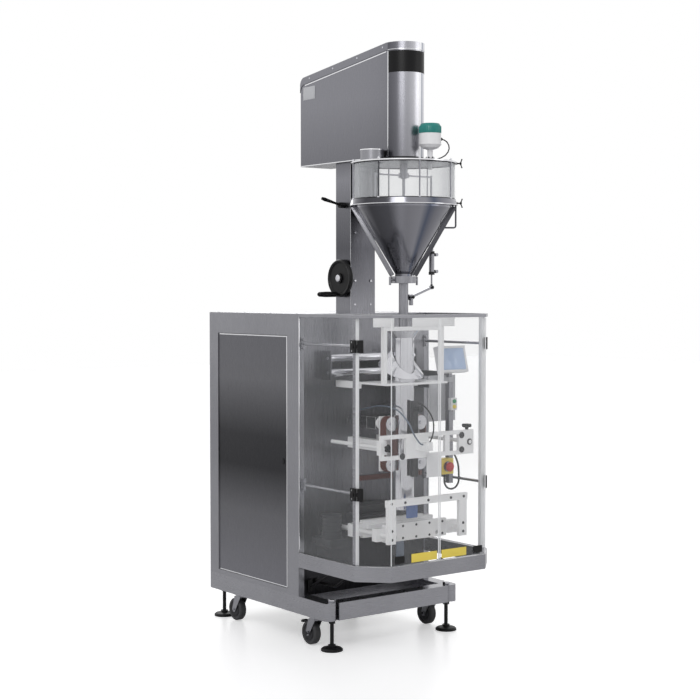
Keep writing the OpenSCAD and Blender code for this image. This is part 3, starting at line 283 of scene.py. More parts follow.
def sheet_with_painted_reflection(name, stops, low_z=0.2, high_z=1.3):
    """Brushed sheet whose tone changes over its height, in metres: a painted reflection, as flat
    satin steel shows one.
    """
    material, tree, shader = new_material(name, Metallic=1.0)
    place = add_node(tree, "ShaderNodeTexCoord")
    parts = add_node(tree, "ShaderNodeSeparateXYZ", links={"Vector": place.outputs["Object"]})
    height = add_node(
        tree,
        "ShaderNodeMapRange",
        inputs={"From Min": low_z, "From Max": high_z},
        links={"Value": parts.outputs["Z"]},
    )
    # The ramp's stops are a painted reflection over the sheet's height
    ramp = add_node(tree, "ShaderNodeValToRGB", links={"Fac": height.outputs["Result"]})
    set_stops(ramp, stops)
    tree.links.new(ramp.outputs["Color"], shader.inputs["Base Color"])
    work_surface(tree, shader, marks(tree, 0.5, (1, 1, 0.02)), 0.24, 0.36, 0.04, 0.1)
    return material


def round_sheet_with_painted_light(name, stops, low_z, high_z, foot_shade, rough):
    """Rolled and polished sheet: its tone changes round the filling axis as a painted reflection,
    and darkens downwards as painted shade.

    Stops are pairs of degrees from the front, towards the right, and an sRGB hex colour. The
    heights are in metres.
    """
    material, tree, shader = new_material(name, Metallic=1.0)
    place = add_node(tree, "ShaderNodeTexCoord")
    centred = add_node(
        tree,
        "ShaderNodeMapping",
        inputs={"Location": (0, -FILL_Y * MM, 0)},
        links={"Vector": place.outputs["Object"]},
    )
    parts = add_node(tree, "ShaderNodeSeparateXYZ", links={"Vector": centred.outputs["Vector"]})
    front = add_node(
        tree,
        "ShaderNodeMath",
        operation="MULTIPLY",
        inputs={1: -1.0},
        links={0: parts.outputs["Y"]},
    )
    turn = add_node(
        tree,
        "ShaderNodeMath",
        operation="ARCTAN2",
        links={0: parts.outputs["X"], 1: front.outputs[0]},
    )
    share = add_node(
        tree,
        "ShaderNodeMapRange",
        inputs={"From Min": -math.pi, "From Max": math.pi},
        links={"Value": turn.outputs[0]},
    )
    # The ramp round the axis is a painted reflection
    ramp = add_node(tree, "ShaderNodeValToRGB", links={"Fac": share.outputs["Result"]})
    set_stops(ramp, [((degrees + 180) / 360, hex_code) for degrees, hex_code in stops])
    # Darker towards the foot: painted shade
    height = add_node(
        tree,
        "ShaderNodeMapRange",
        inputs={"From Min": low_z, "From Max": high_z, "To Min": foot_shade, "To Max": 1.0},
        links={"Value": parts.outputs["Z"]},
    )
    shaded = add_node(
        tree,
        "ShaderNodeVectorMath",
        operation="SCALE",
        links={"Vector": ramp.outputs["Color"], "Scale": height.outputs["Result"]},
    )
    tree.links.new(shaded.outputs["Vector"], shader.inputs["Base Color"])
    work_surface(tree, shader, marks(tree, 0.5, (1, 1, 0.02)), rough * 0.8, rough * 1.25, 0.04, 0.1)
    return material


FINISH = {}


def make_finishes(s):
    """Every finish of the machine, by a plain name."""
    upright, level = (1, 1, 0.02), (0.02, 0.02, 1)
    # Stainless sheet, belt-brushed: grey satin with fine lines, upright or level as it was folded
    FINISH["steel"] = brushed_metal("brushed_stainless", "#85858A", "#97979C", 0.30, upright)
    FINISH["steel_level"] = brushed_metal(
        "brushed_stainless_level", "#88888D", "#9C9CA1", 0.28, level)
    # Stainless rod and tube, buffed: brighter and smoother than the sheet
    FINISH["bright"] = brushed_metal("polished_stainless", "#C4C4C9", "#D6D6DA", 0.14, upright, 0.3)
    # Bright lines at sheet edges and seams: a painted highlight, a thin line that always looks
    # bright
    FINISH["edge"] = brushed_metal("edge_painted_highlight", "#D8D8DC", "#ECECEE", 0.2, upright, 0.3)
    # Steel strip in painted shade: darker and duller than the stainless sheet, for pieces at the
    # right
    FINISH["strut_painted_shade"] = brushed_metal("strut_steel_painted_shade", "#4A4A4E", "#5C5C61", 0.3, upright)
    # Rolled stainless sheet, satin: bright bands of painted reflection run down its round front,
    # and painted shade darkens its foot
    FINISH["head_steel"] = round_sheet_with_painted_light("head_steel_painted_reflection_and_shade", [
        (-180, "#85858B"), (-92, "#7C7C82"), (-89, "#5A5A60"), (-60, "#6C6C72"),
        (-25, "#A2A2A8"), (2, "#C8C8CD"), (16, "#F2F2F4"), (24, "#8D93A1"), (30, "#DADADF"),
        (60, "#BDBDC2"), (92, "#7C7C82"), (180, "#85858B")], 1.98, 2.25, 0.72, 0.3)
    # Spun stainless cone, mirror polished: painted reflections, dark at the left and light at the
    # right, and a little painted shade at its foot
    FINISH["cone"] = round_sheet_with_painted_light("cone_steel_painted_reflection_and_shade", [
        (-180, "#77777C"), (-116, "#A9A9AF"), (-100, "#6A6A6F"), (-84, "#434347"),
        (-58, "#505055"), (-44, "#7E7E84"), (-16, "#8B8B91"), (-6, "#565C6B"), (6, "#7C7C83"),
        (30, "#97979D"), (52, "#C2C2C7"), (180, "#77777C")], 1.4, 1.5, 0.95, 0.16)
    # Fine brushed stainless panel: a painted dark reflection lies across its middle
    FINISH["panel"] = sheet_with_painted_reflection("brushed_panel_painted_reflection", [
        (0.0, "#74747A"), (0.28, "#66666A"), (0.46, "#323235"), (0.58, "#38383B"),
        (0.8, "#6C6C70"), (1.0, "#66666B")])
    # The same sheet behind the guard: mostly dark, with a lighter belt, as a painted reflection
    FINISH["plate"] = sheet_with_painted_reflection("front_plate_painted_reflection", [
        (0.0, "#2A2A2C"), (0.3, "#39393C"), (0.52, "#77777C"), (0.66, "#505054"),
        (0.78, "#3A3A3D"), (0.95, "#88888D")])
    # Square stainless tube, brushed: a painted reflection, a little darker in the middle of its
    # height
    FINISH["column"] = sheet_with_painted_reflection("column_steel_painted_reflection", [
        (0.0, "#8A8A8F"), (0.2, "#6E6E73"), (0.42, "#55555A"), (0.66, "#6A6A6F"),
        (0.86, "#84848A"), (1.0, "#66666B")], 1.36, 2.02)
    # Cast acrylic sheet: clear face on, white at a slant as a painted sheen for its reflection; the
    # doors show their thickness more and get a stronger sheen
    FINISH["acrylic"] = clear_sheet("cast_acrylic", "#EEF1F5", 0.015, 0.17)
    FINISH["door_acrylic"] = clear_sheet("cast_acrylic_door", "#F2F4F7", 0.03, 0.24)
    # Extruded acrylic ring of the hopper: thicker, and whiter at a slant with a stronger painted
    # sheen for its reflections
    FINISH["ring"] = clear_sheet("clear_hopper_ring", "#EEF1F5", 0.12, 0.6)
    # Sawn and flamed edge of acrylic sheet: it gathers light and looks white, so it is painted
    # white as a highlight
    FINISH["glow"] = moulded("acrylic_edge_painted_highlight", linear("#F4F5F7"), 0.87, 0.18)
    # Sprayed and baked enamel on steel: smooth, bright and half glossy
    FINISH["white"] = moulded("white_enamel", s.enamel, 0.91, 0.32)
    FINISH["yellow"] = moulded("yellow_enamel", s.signal, 0.9, 0.4)
    FINISH["bluegrey"] = moulded("blue_grey_enamel", s.hose, 0.71, 0.4)
    # Enamel on a rough casting: dark, with a grit that shows
    FINISH["motor"] = moulded("dark_cast_enamel", s.cast, 0.5, 0.5, 1.2, 0.1, 0.35)
    # Moulded ABS: even colour, a fine spark-eroded grain, half glossy
    FINISH["black"] = moulded("black_abs", linear("#111113"), 0.45, 0.45, shine=0.25)
    FINISH["ivory"] = moulded("white_abs", linear("#F2F2F4"), 0.9, 0.35)
    FINISH["teal"] = moulded("teal_abs", s.cap, 0.69, 0.38)
    FINISH["red"] = moulded("red_abs", s.button, 0.81, 0.3)
    FINISH["green"] = moulded("green_abs", linear("#38A068"), 0.77, 0.3)
    # Vulcanised rubber: dull, and a little lighter where it is worn
    FINISH["rubber"] = moulded("grey_rubber", linear("#4A4A4C"), 0.62, 0.62, shine=0.3)
    FINISH["belt"] = moulded("brown_belt_rubber", s.belt, 0.66, 0.6)
    # Cast silicone: soft satin, with a slight drift of its blue
    FINISH["blue_pad"] = moulded("blue_silicone", s.pad, 0.71, 0.4)
    # Polyethylene film wound on itself: pale and glossy
    FINISH["film"] = moulded("wound_film", linear("#E6E8EE"), 0.84, 0.22)
    # Calendered vinyl band: nearly black, with a low shine
    FINISH["band"] = moulded("black_vinyl", linear("#0C0C0E"), 0.49, 0.35, shine=0.2)
    # Printed foil left bare: pale grey and satin
    FINISH["pale"] = moulded("pale_foil", linear("#C9CACE"), 0.84, 0.3)
    # Wound cardboard: dull brown with a coarse grain
    FINISH["card"] = moulded("grey_cardboard", linear("#A08D70"), 0.73, 0.8, 1.5, 0.15, 0.2)
    # Hardened glass over a lit screen: pale blue and glossy
    FINISH["screen"] = moulded("screen_glass", s.screen, 0.86, 0.12)


SLOT_FINISH = {
    "stainless": "steel",
    "dark_steel": "panel",
    "polished": "bright",
    "clear_acrylic": "acrylic",
    "white_paint": "white",
    "black_plastic": "black",
    "grey_rubber": "rubber",
    "belt_rubber": "belt",
    "film": "film",
    "sensor_plastic": "ivory",
    "red_plastic": "red",
    "screen_plastic": "ivory",
}
NODE_FINISH = {
    "front_plate": "plate",
    "left_guard_door": "door_acrylic",
    "right_guard_door": "door_acrylic",
    "head_housing": "head_steel",
    "base_frame": "steel_level",
    "guard_frame": "steel_level",
    "hopper_cone": "cone",
    "hopper_window": "ring",
    "forming_tube": "bright",
    "forming_collar": "bright",
    "lift_block": "motor",
    "vertical_sealer": "motor",
    "column": "column",
}


def dress_nodes():
    """Gives every node its finish."""
    for part in frame["record"]["subparts"]:
        name = part["node"]
        finish = FINISH[NODE_FINISH.get(name, SLOT_FINISH[part["material_slot"]])]
        slots = NODES[name].data.materials
        if not slots:
            slots.append(finish)
        for index in range(len(slots)):
            slots[index] = finish


# Modelling


def begin():
    """Nothing is selected, in object mode."""
    if bpy.context.object and bpy.context.object.mode != "OBJECT":
        bpy.ops.object.mode_set(mode="OBJECT")
    bpy.ops.object.select_all(action="DESELECT")


def pick(obj):
    """Only this piece is selected, and it is the active one."""
    begin()
    obj.select_set(True)
    bpy.context.view_layer.objects.active = obj


def settle(obj):
    """Puts a piece's place into its mesh."""
    pick(obj)
    bpy.ops.object.transform_apply(location=True, rotation=True, scale=True)


def apply_modifier(obj, kind, **settings):
    """Adds a modifier to the picked piece and applies it."""
    bpy.ops.object.modifier_add(type=kind)
    modifier = obj.modifiers[-1]
    for key, value in settings.items():
        setattr(modifier, key, value)
    bpy.ops.object.modifier_apply(modifier=modifier.name)


def smooth(degrees):
    """Shades the active piece smooth, apart from edges sharper than this."""
    bpy.ops.object.shade_smooth_by_angle(angle=math.radians(degrees))


def move_mesh(obj, at, turn=Matrix()):
    """Turns a piece's mesh, then moves it to a place in millimetres."""
    obj.data.transform(Matrix.Translation([c * MM for c in at]) @ turn)


def face_outwards():
    """Turns the active piece's faces outwards, and leaves it in object mode."""
    bpy.ops.mesh.select_all(action="SELECT")
    bpy.ops.mesh.normals_make_consistent(inside=False)
    bpy.ops.object.mode_set(mode="OBJECT")


def bar(low, high, round_mm=0.8):
    """A block between two corners, its edges rounded."""
    begin()
    middle = [(a + b) / 2 * MM for a, b in zip(low, high)]
    size = [(b - a) * MM for a, b in zip(low, high)]
    bpy.ops.mesh.primitive_cube_add(size=1, location=middle, scale=size)
    return soften(bpy.context.object, round_mm)


def soften(obj, width_mm):
    """Puts a block's place into its mesh and rounds its edges."""
    settle(obj)
    apply_modifier(obj, "BEVEL", width=width_mm * MM, segments=2, limit_method="ANGLE")
    smooth(35)
    return obj


def turned(at, axis, stations, sides=24):
    """A turned piece: stations are pairs of a distance along the axis and a radius."""
    begin()
    along, radius = stations[0]
    bpy.ops.mesh.primitive_circle_add(
        vertices=sides, radius=radius * MM, fill_type="NGON", location=(0, 0, along * MM)
    )
    obj = bpy.context.object
    bpy.ops.object.transform_apply(location=True)
    bpy.ops.object.mode_set(mode="EDIT")
    bpy.ops.mesh.select_all(action="SELECT")
    for further, wide in stations[1:]:
        step = (0, 0, (further - along) * MM)
        bpy.ops.mesh.extrude_region_move(TRANSFORM_OT_translate={"value": step})
        share = wide / radius
        bpy.ops.transform.resize(value=(share, share, 1), center_override=(0, 0, 0))
        along, radius = further, wide
    face_outwards()
    move_mesh(obj, at, Vector((0, 0, 1)).rotation_difference(Vector(axis)).to_matrix().to_4x4())
    smooth(35)
    return obj


def joined(rows):
    """Joins pieces into the first of them."""
    begin()
    for row in rows:
        row.select_set(True)
    bpy.context.view_layer.objects.active = rows[0]
    if len(rows) > 1:
        bpy.ops.object.join()
    return bpy.context.object


def copied(obj, turn=Matrix()):
    """A copy of a piece with its own mesh."""
    twin = obj.copy()
    twin.data = obj.data.copy()
    twin.data.transform(turn)
    bpy.context.scene.collection.objects.link(twin)
    return twin


def copies(obj, offsets):
    """Copies of a piece at offsets, joined to one piece; the first one goes."""
    rows = [copied(obj, Matrix.Translation([c * MM for c in offset])) for offset in offsets]
    mesh = obj.data
    bpy.data.objects.remove(obj)
    bpy.data.meshes.remove(mesh)
    return joined(rows)


def mirrored(obj):
    """A piece and its mirror image on the machine's other side."""
    twin = copied(obj, Matrix.Scale(-1, 4, (1, 0, 0)))
    pick(twin)
    bpy.ops.object.mode_set(mode="EDIT")
    face_outwards()
    return joined([obj, twin])


def path_curve(points, radius_mm, resolution):
    """A round curve with straight runs between its points."""
    begin()
    bpy.ops.curve.primitive_nurbs_path_add()
    obj = bpy.context.object
    curve = obj.data
    curve.splines.clear()
    spline = curve.splines.new("POLY")
    spline.points.add(len(points) - 1)
    for knot, point in zip(spline.points, points):
        knot.co = [c * MM for c in point] + [1]
    curve.bevel_depth = radius_mm * MM
    curve.bevel_resolution = resolution
    curve.use_fill_caps = True
    settle(obj)
    return obj


def rod(points, radius_mm):
    """A bent round rod."""
    path_curve(points, radius_mm, 3)
    bpy.ops.object.convert(target="MESH")
    smooth(50)
    return bpy.context.object


def strips(points, size, up, round_mm=0.4):
    """Straight flat strips between neighbouring points, joined to one piece."""
    rows = []
    for a, b in zip(points, points[1:]):
        way = Vector(b) - Vector(a)
        begin()
        bpy.ops.mesh.primitive_cube_add(size=1, scale=(way.length * MM, size[0] * MM, size[1] * MM))
        row = soften(bpy.context.object, round_mm)
        x, z = way.normalized(), Vector(up)
        turn = Matrix((x, z.cross(x).normalized(), z)).transposed().to_4x4()
        move_mesh(row, (Vector(a) + Vector(b)) / 2, turn)
        rows.append(row)
    return joined(rows)


def finish_piece(obj, name, body, finish):
    """Names a piece, gives it its finish and lets it ride on a body."""
    obj.name = name
    obj.data.name = name
    obj.data.materials.clear()
    obj.data.materials.append(FINISH[finish])
    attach(obj, body)
    return obj


# Stage


def add_lamp(name, place, size, power):
    """A square soft lamp that looks at the machine's middle."""
    data = bpy.data.lights.new(name, "AREA")
    data.energy = power
    data.size = size
    lamp = bpy.data.objects.new(name, data)
    bpy.context.scene.collection.objects.link(lamp)
    lamp.location = place
    aim = Vector((0, 0, 1.1)) - Vector(place)
    lamp.rotation_euler = aim.to_track_quat("-Z", "Y").to_euler()


def set_surround():
    """A world that is white where it is seen or reflected, and dimmer as a light."""
    scene = bpy.context.scene
    scene.world = scene.world or bpy.data.worlds.new("studio")
    scene.world.use_nodes = True
    tree = scene.world.node_tree
    tree.nodes.clear()
    ray = add_node(tree, "ShaderNodeLightPath").outputs
    seen = add_node(
        tree,
        "ShaderNodeMath",
        operation="MAXIMUM",
        links={0: ray["Is Camera Ray"], 1: ray["Is Transmission Ray"]},
    )
    shown = add_node(
        tree,
        "ShaderNodeMath",
        operation="MAXIMUM",
        links={0: seen.outputs[0], 1: ray["Is Glossy Ray"]},
    )
    strength = add_node(
        tree,
        "ShaderNodeMapRange",
        inputs={"To Min": 0.45, "To Max": 1.0},
        links={"Value": shown.outputs[0]},
    )
    back = add_node(
        tree,
        "ShaderNodeBackground",
        inputs={"Color": (1, 1, 1, 1)},
        links={"Strength": strength.outputs["Result"]},
    )
    add_node(tree, "ShaderNodeOutputWorld", links={"Surface": back.outputs["Background"]})


def set_floor(tone):
    """A pale painted floor, lifted towards white where the camera sees it."""
    bpy.ops.mesh.primitive_plane_add(size=40)
    floor = bpy.context.object
    floor.name = "floor"
    material, tree, shader = new_material(
        "pale_floor", Base_Color=tone, Roughness=0.3, Emission_Color=(1, 1, 1, 1)
    )
    ray = add_node(tree, "ShaderNodeLightPath")
    glow = add_node(
        tree,
        "ShaderNodeMath",
        operation="MULTIPLY",
        inputs={1: 0.42},
        links={0: ray.outputs["Is Camera Ray"]},
    )
    tree.links.new(glow.outputs[0], shader.inputs["Emission Strength"])
    floor.data.materials.append(material)


def set_camera(eye, turn, dip, lens):
    """The camera, turned from straight ahead to the right and dipped below level, in radians."""
    data = bpy.data.cameras.new("camera")
    data.lens = lens
    camera = bpy.data.objects.new("camera", data)
    bpy.context.scene.collection.objects.link(camera)
    camera.location = eye
    camera.rotation_euler = (math.radians(90) - dip, 0, -turn)
    bpy.context.scene.camera = camera


# Shapes that repeat


def around(reach, turn_deg):
    """The x and y of a point round the filling axis; the angle runs from +X towards +Y."""
    turn = math.radians(turn_deg)
    return reach * math.cos(turn), FILL_Y + reach * math.sin(turn)


def arc_sheet(centre, radius, z0, z1, thick_mm, sides=96, half=False):
    """An upright sheet bent round a centre, all round or only its front half."""
    begin()
    bpy.ops.mesh.primitive_circle_add(vertices=sides, radius=radius * MM, fill_type="NOTHING")
    obj = bpy.context.object
    bpy.ops.object.mode_set(mode="EDIT")
    if half:
        bpy.ops.mesh.select_mode(type="VERT")
        bpy.ops.mesh.select_all(action="DESELECT")
        bpy.ops.object.mode_set(mode="OBJECT")
        for v in obj.data.vertices:
            v.select = v.co.y > radius * MM * 0.0002
        bpy.ops.object.mode_set(mode="EDIT")
        bpy.ops.mesh.delete(type="VERT")
    bpy.ops.mesh.select_all(action="SELECT")
    bpy.ops.mesh.extrude_region_move(TRANSFORM_OT_translate={"value": (0, 0, (z1 - z0) * MM)})
    face_outwards()
    apply_modifier(obj, "SOLIDIFY", thickness=thick_mm * MM, offset=0)
    move_mesh(obj, (centre[0], centre[1], z0))
    smooth(35)
    return obj


def screws(places, axis, radius):
    """Pan head screws with a socket, along one axis."""
    rim = radius * 0.45
    stations = [(0, radius), (radius * 0.3, radius), (rim, radius * 0.8), (rim, radius * 0.5),
        (radius * 0.1, radius * 0.48)]
    return copies(turned((0, 0, 0), axis, stations, 18), places)


def lobed_knob(at, axis, radius):
    """A star knob: a turned body with five round lobes pressed out."""
    obj = turned(at, axis, [(0, radius * 0.35), (8, radius * 0.35), (9, radius * 0.9),
        (12, radius), (20, radius), (23, radius * 0.86), (23.5, radius * 0.4)], 40)
    way = Vector(axis)
    side = way.orthogonal().normalized()
    up = way.cross(side)
    for v in obj.data.vertices:
        arm = v.co / MM - Vector(at)
        along = way * arm.dot(way)
        out = arm - along
        if out.length > radius * 0.6:
            lobe = math.cos(5 * math.atan2(out.dot(up), out.dot(side)))
            v.co = (Vector(at) + along + out * (0.84 + 0.16 * lobe)) * MM
    return obj


def smooth_route(points, steps):
    """Points of a smooth curve through the given points."""
    rows = []
    for i in range(len(points) - 1):
        a, b, c, d = (Vector(points[max(0, min(len(points) - 1, i + k))]) for k in (-1, 0, 1, 2))
        for t in (step / steps for step in range(steps)):
            rows.append(0.5 * (2 * b + (c - a) * t + (2 * a - 5 * b + 4 * c - d) * t * t
                + (3 * b - a - 3 * c + d) * t ** 3))
    return rows + [Vector(points[-1])]


def cord_piece(name, points, radius_mm, body, finish, steps=6):
    """A cord that starts and ends on the machine; with 0 steps its points are the whole route."""
    route = smooth_route(points, steps) if steps else [Vector(q) for q in points]
    obj = path_curve(route, radius_mm, 4)
    obj.name = name
    obj.data.name = name
    obj.data.materials.append(FINISH[finish])
    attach(obj, body)
    return obj


# Pieces


def cabinet_pieces(s):
    """Edge lines with a painted highlight, panel locks and screws of the cabinet."""
    side_x, skin_x = 349.6, 346.2
    rows = [
        bar((-side_x, -105.5, 380), (-345.3, -102.6, 1361), 0.4),
        bar((-side_x, FRONT_PLATE_Y, 1363), (-346.6, 586.5, 1364.2), 0.4),
    ]
    finish_piece(mirrored(joined(rows)), "edge_lines", "machine", "edge")
    # The lines stop short of the hinge edge, which turns into the frame
    front_y, hinge_y, low_z, high_z = -20.3, 504.5, 221.2, 1270.8
    for side, name in ((-1, "left"), (1, "right")):
        near, far = sorted((side * skin_x, side * side_x))
        # The panel's edge lines carry a painted highlight
        lines = [
            bar((near, front_y, low_z), (far, front_y + 5, high_z), 0.6),
            bar((near, front_y + 5, high_z - 5), (far, hinge_y, high_z), 0.6),
            bar((near, front_y + 5, low_z), (far, hinge_y, low_z + 4), 0.6),
        ]
        panel = name + "_service_panel"
        finish_piece(joined(lines), name + "_panel_edges", panel, "edge")
        ring = turned((side * 346.4, 17.5, 746), (side, 0, 0),
            [(0, 13), (1.2, 13), (2.4, 11), (2.4, 7), (1.2, 6.5)])
        near, far = sorted((side * 346.6, side * 349.4))
        wing = bar((near, 15.5, 738), (far, 19.5, 754))
        finish_piece(joined([ring, wing]), name + "_panel_lock", panel, "black")
    places = [(x, y, 1363) for x in (-330, 330) for y in (-60, 130, 330, 545)]
    heads = screws(places, (0, 0, 1), s.screw / MM)
    finish_piece(heads, "roof_screws", "machine", "bright")


def head_pieces(s):
    """Band, seam lines with a painted highlight, plate and screws of the filler's head."""
    axis, radius = (0, FILL_Y), 82
    band = arc_sheet(axis, radius + 0.6, 2339, 2425, 0.6, half=True)
    finish_piece(band, "front_band", "filler", "band")
    # The lid's edge rises from the back of the head to its round front
    back_y, back_z, rise = 224, 2352, (2427 - 2355) / (224 + 344)
    front_y = -343
    seam = [(-82.7, back_y, back_z), (-82.7, front_y, back_z + (back_y - front_y) * rise)]
    # Strips along the seams, painted bright as highlights
    rows = [
        bar((-83.6, FILL_Y - 2.5, 2001), (-81.6, FILL_Y + 2.5, 2426), 0.6),
        strips(seam, (1.8, 5), (0, 0, 1)),
        bar((-83.4, -350, 2000.3), (-81.8, 256, 2004.5), 0.6),
    ]
    finish_piece(mirrored(joined(rows)), "head_seams", "filler", "edge")
    plate = bar((-83.2, 152, 2288), (-81.9, 238, 2344), 0.5)
    finish_piece(plate, "bare_side_plate", "filler", "pale")
    rows = []
    for side in (-1, 1):
        places = [(side * 83.9, y, back_z + 23 + (back_y - y) * rise)
            for y in (190, 20, -150, -320)]
        rows.append(screws(places, (side, 0, 0), s.lid_screw / MM))
    finish_piece(joined(rows), "lid_screws", "filler", "bright")
    # A line of painted highlight along the lid's lip
    lip = arc_sheet(axis, radius + 2.4, 2429.5, 2431.5, 0.8, half=True)
    finish_piece(lip, "lid_lip", "filler", "edge")
    seal = arc_sheet(axis, radius - 6, 1993.5, 1999.6, 4)
    finish_piece(seal, "head_seal", "filler", "black")


def hopper_pieces(s):
    """Nuts, latches, seals and struts of the hopper."""
    axis = (0, FILL_Y)
    spots = [around(213.4, 90 - turn) for turn in range(22, 360, 45)]
    nut = turned((0, 0, 0), (0, 0, 1), [(0, 5.4), (4.6, 5.4), (5, 4.2), (7.4, 3.4), (8.6, 1.6)], 12)
    low_nut = turned((0, 0, 0), (0, 0, 1), [(0, 6), (4, 6), (4.6, 4)], 6)
    nuts = copies(nut, [(*spot, 1981.1) for spot in spots])
    low_nuts = copies(low_nut, [(*spot, 1828.2) for spot in spots])
    finish_piece(joined([nuts, low_nuts]), "rod_nuts", "filler", "bright")
    seals = [arc_sheet(axis, 210.5, z, z + 3.2, 1.6) for z in (1971.6, 1828.2)]
    finish_piece(joined(seals), "ring_seals", "filler", "band")
    inlet = (-136, -319.5)
    # The rims are lines with a painted highlight
    rims = [
        arc_sheet(axis, 216.3, 1975.6, 1980.4, 0.9),
        arc_sheet(axis, 220.2, 1804.4, 1806.8, 0.9),
        arc_sheet(inlet, 48.6, 2024.5, 2028.6, 2.4, 48),
        arc_sheet(inlet, 48.8, 1981.2, 1984.2, 2.2, 48),
    ]
    finish_piece(joined(rims), "hopper_rims", "filler", "edge")
    # The latches and the bent rod stand out at the hopper's right, a little to the front
    u, v = 0.823, -0.567
    rows = []
    wing = [(0, 2.6), (10, 2.2), (14, 3.2), (17, 1.4)]
    for z, reach in ((1978, 215.5), (1816, 217)):
        rows.append(turned((reach * u, FILL_Y + reach * v, z), (u, v, 0),
            [(0, 5), (4, 5), (5, 3), (14, 3), (15, 6), (20, 6), (22, 4)], 16))
        for up in (3, -3):
            foot = ((reach + 18) * u, FILL_Y + (reach + 18) * v, z + up)
            rows.append(turned(foot, (0.35 * u, 0.35 * v, up * 0.313), wing, 12))
    finish_piece(joined(rows), "wing_latches", "filler", "black")
    # The right strut is painted darker as shade; the left one is stainless
    for side, turn, finish in (("right", -34.6, "strut_painted_shade"), ("left", 145.4, "steel")):
        lean = (0.867 * math.cos(math.radians(turn)), 0.867 * math.sin(math.radians(turn)), -0.498)
        strut = strips([(*around(207.5, turn), 1801), (*around(46.5, turn), 1520)], (14, 19), lean)
        finish_piece(strut, side + "_cone_strut", "filler", finish)
    # The bent rod, at the right, is painted darker as shade too
    loop = [(reach * u, FILL_Y + reach * v, z)
        for reach, z in ((214, 1804.2), (214, 1724), (212, 1718), (206, 1716), (166, 1716))]
    finish_piece(rod(loop, s.bent_rod / MM), "bent_rod", "filler", "strut_painted_shade")


def sensor_pieces(s):
    """Cap, fittings and lead of the level sensor on the hopper's lid."""
    x, y = 24, -492.5
    cap = turned((x, y, 2089.2), (0, 0, 1),
        [(0, 43.2), (2, 43.8), (28, 43.8), (32, 41), (38.8, 36.8), (39, 30)], 48)
    rib = turned((0, 0, 0), (0, 0, 1), [(0, 1.0), (1, 1.7), (24, 1.7), (26, 0.8)], 8)
    turns = [math.radians(a) for a in range(0, 360, 12)]
    ribs = copies(rib, [(x + 43.6 * math.cos(t), y + 43.6 * math.sin(t), 2091.5) for t in turns])
    finish_piece(joined([cap, ribs]), "sensor_cap", "filler", "teal")
    gland = turned((64.2, -503.2, 2068), (0.9445, -0.3285, 0),
        [(0, 8), (5, 8), (6, 6.4), (10, 6), (13, 4)], 12)
    collar = turned((x, y, 1981.2), (0, 0, 1), [(0, 19), (8, 19), (9, 17.6), (14.2, 17)], 6)
    lip = arc_sheet((x, y), 44.4, 2043.5, 2047.5, 1.4, 64)
    finish_piece(joined([gland, collar]), "sensor_fittings", "filler", "black")
    finish_piece(lip, "sensor_lip", "filler", "ivory")
    # The same points as the solid lead's, from the gland down to the lid and along to the head
    route = [(67.1, -504.3, 2068), (72, -506, 2068), (84, -510, 2065), (96, -512, 2058),
        (106, -512, 2046), (110, -510, 2032), (108, -505, 2018), (100, -497, 2005),
        (88, -487, 1996), (74, -475, 1990), (60, -462, 1987), (46, -449, 1986.5),
        (34, -437, 1987), (26, -428, 1989), (22.3, -421.7, 1990)]
    radius = s.sensor_lead / MM
    lead = cord_piece("sensor_lead", route, radius, "filler", "black", 0)
    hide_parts("sensor_cable")


def column_pieces(s):
    """Screws and edge lines of the column, the wheel's cap and the drip valve's fittings."""
    # The column's edge lines carry a painted highlight
    rows = [
        bar((-65.5, -81.2, 1364), (-64.1, -79.8, 1990), 0.4),
        bar((64.1, -81.2, 1364), (65.5, -79.8, 1990), 0.4),
    ]
    finish_piece(joined(rows), "column_edges", "machine", "edge")
    places = [(x, y, z) for y, z in ((-83.3, 1501), (-83.3, 1704), (-80.5, 1400))
        for x in (-42, 42)]
    heads = screws(places, (0, -1, 0), s.screw / MM)
    finish_piece(heads, "column_screws", "machine", "bright")
    cap = turned((-92.2, -29, 1511), (-1, 0, 0), [(0, 15), (2.5, 15), (4, 12), (4, 7), (2.5, 6.5)])
    finish_piece(cap, "wheel_cap", "handwheel", "bright")
    # The drip valve's cylinder stands over this point, where its rod meets the arm
    x, y, z = 150.4, FILL_Y, 1472.4
    port = [(0, 6.4), (8, 6.4), (9, 4.6), (18, 4.6)]
    dark = [
        turned((x, y, z + 52), (0, 0, 1), [(0, 12.4), (12, 12.4), (13, 11.4)]),
        turned((x, y, z + 138), (0, 0, 1), [(0, 12.4), (11, 12.4), (12, 9)]),
        turned((x + 12, y, z + 66), (1, 0, 0), port),
        turned((x + 12, y, z + 136), (1, 0, 0), port),
    ]
    finish_piece(joined(dark), "cylinder_caps", "filler", "motor")
    pivot = turned((39.5, y - 14.5, 1432), (0, -1, 0), [(0, 7), (3, 7), (4, 5.4)], 6)
    finish_piece(pivot, "arm_pivot_bolt", "filler", "black")
    bolt = turned((x, y - 7.2, z), (0, -1, 0), [(0, 6), (3, 6), (4, 4.6)], 6)
    eye = turned((x, y, z + 6.5), (0, 0, 1), [(0, 5.5), (3.4, 5.5), (4, 4.4), (7, 4.4)], 16)
    finish_piece(joined([bolt, eye]), "arm_end_bolt", "drip_arm", "black")


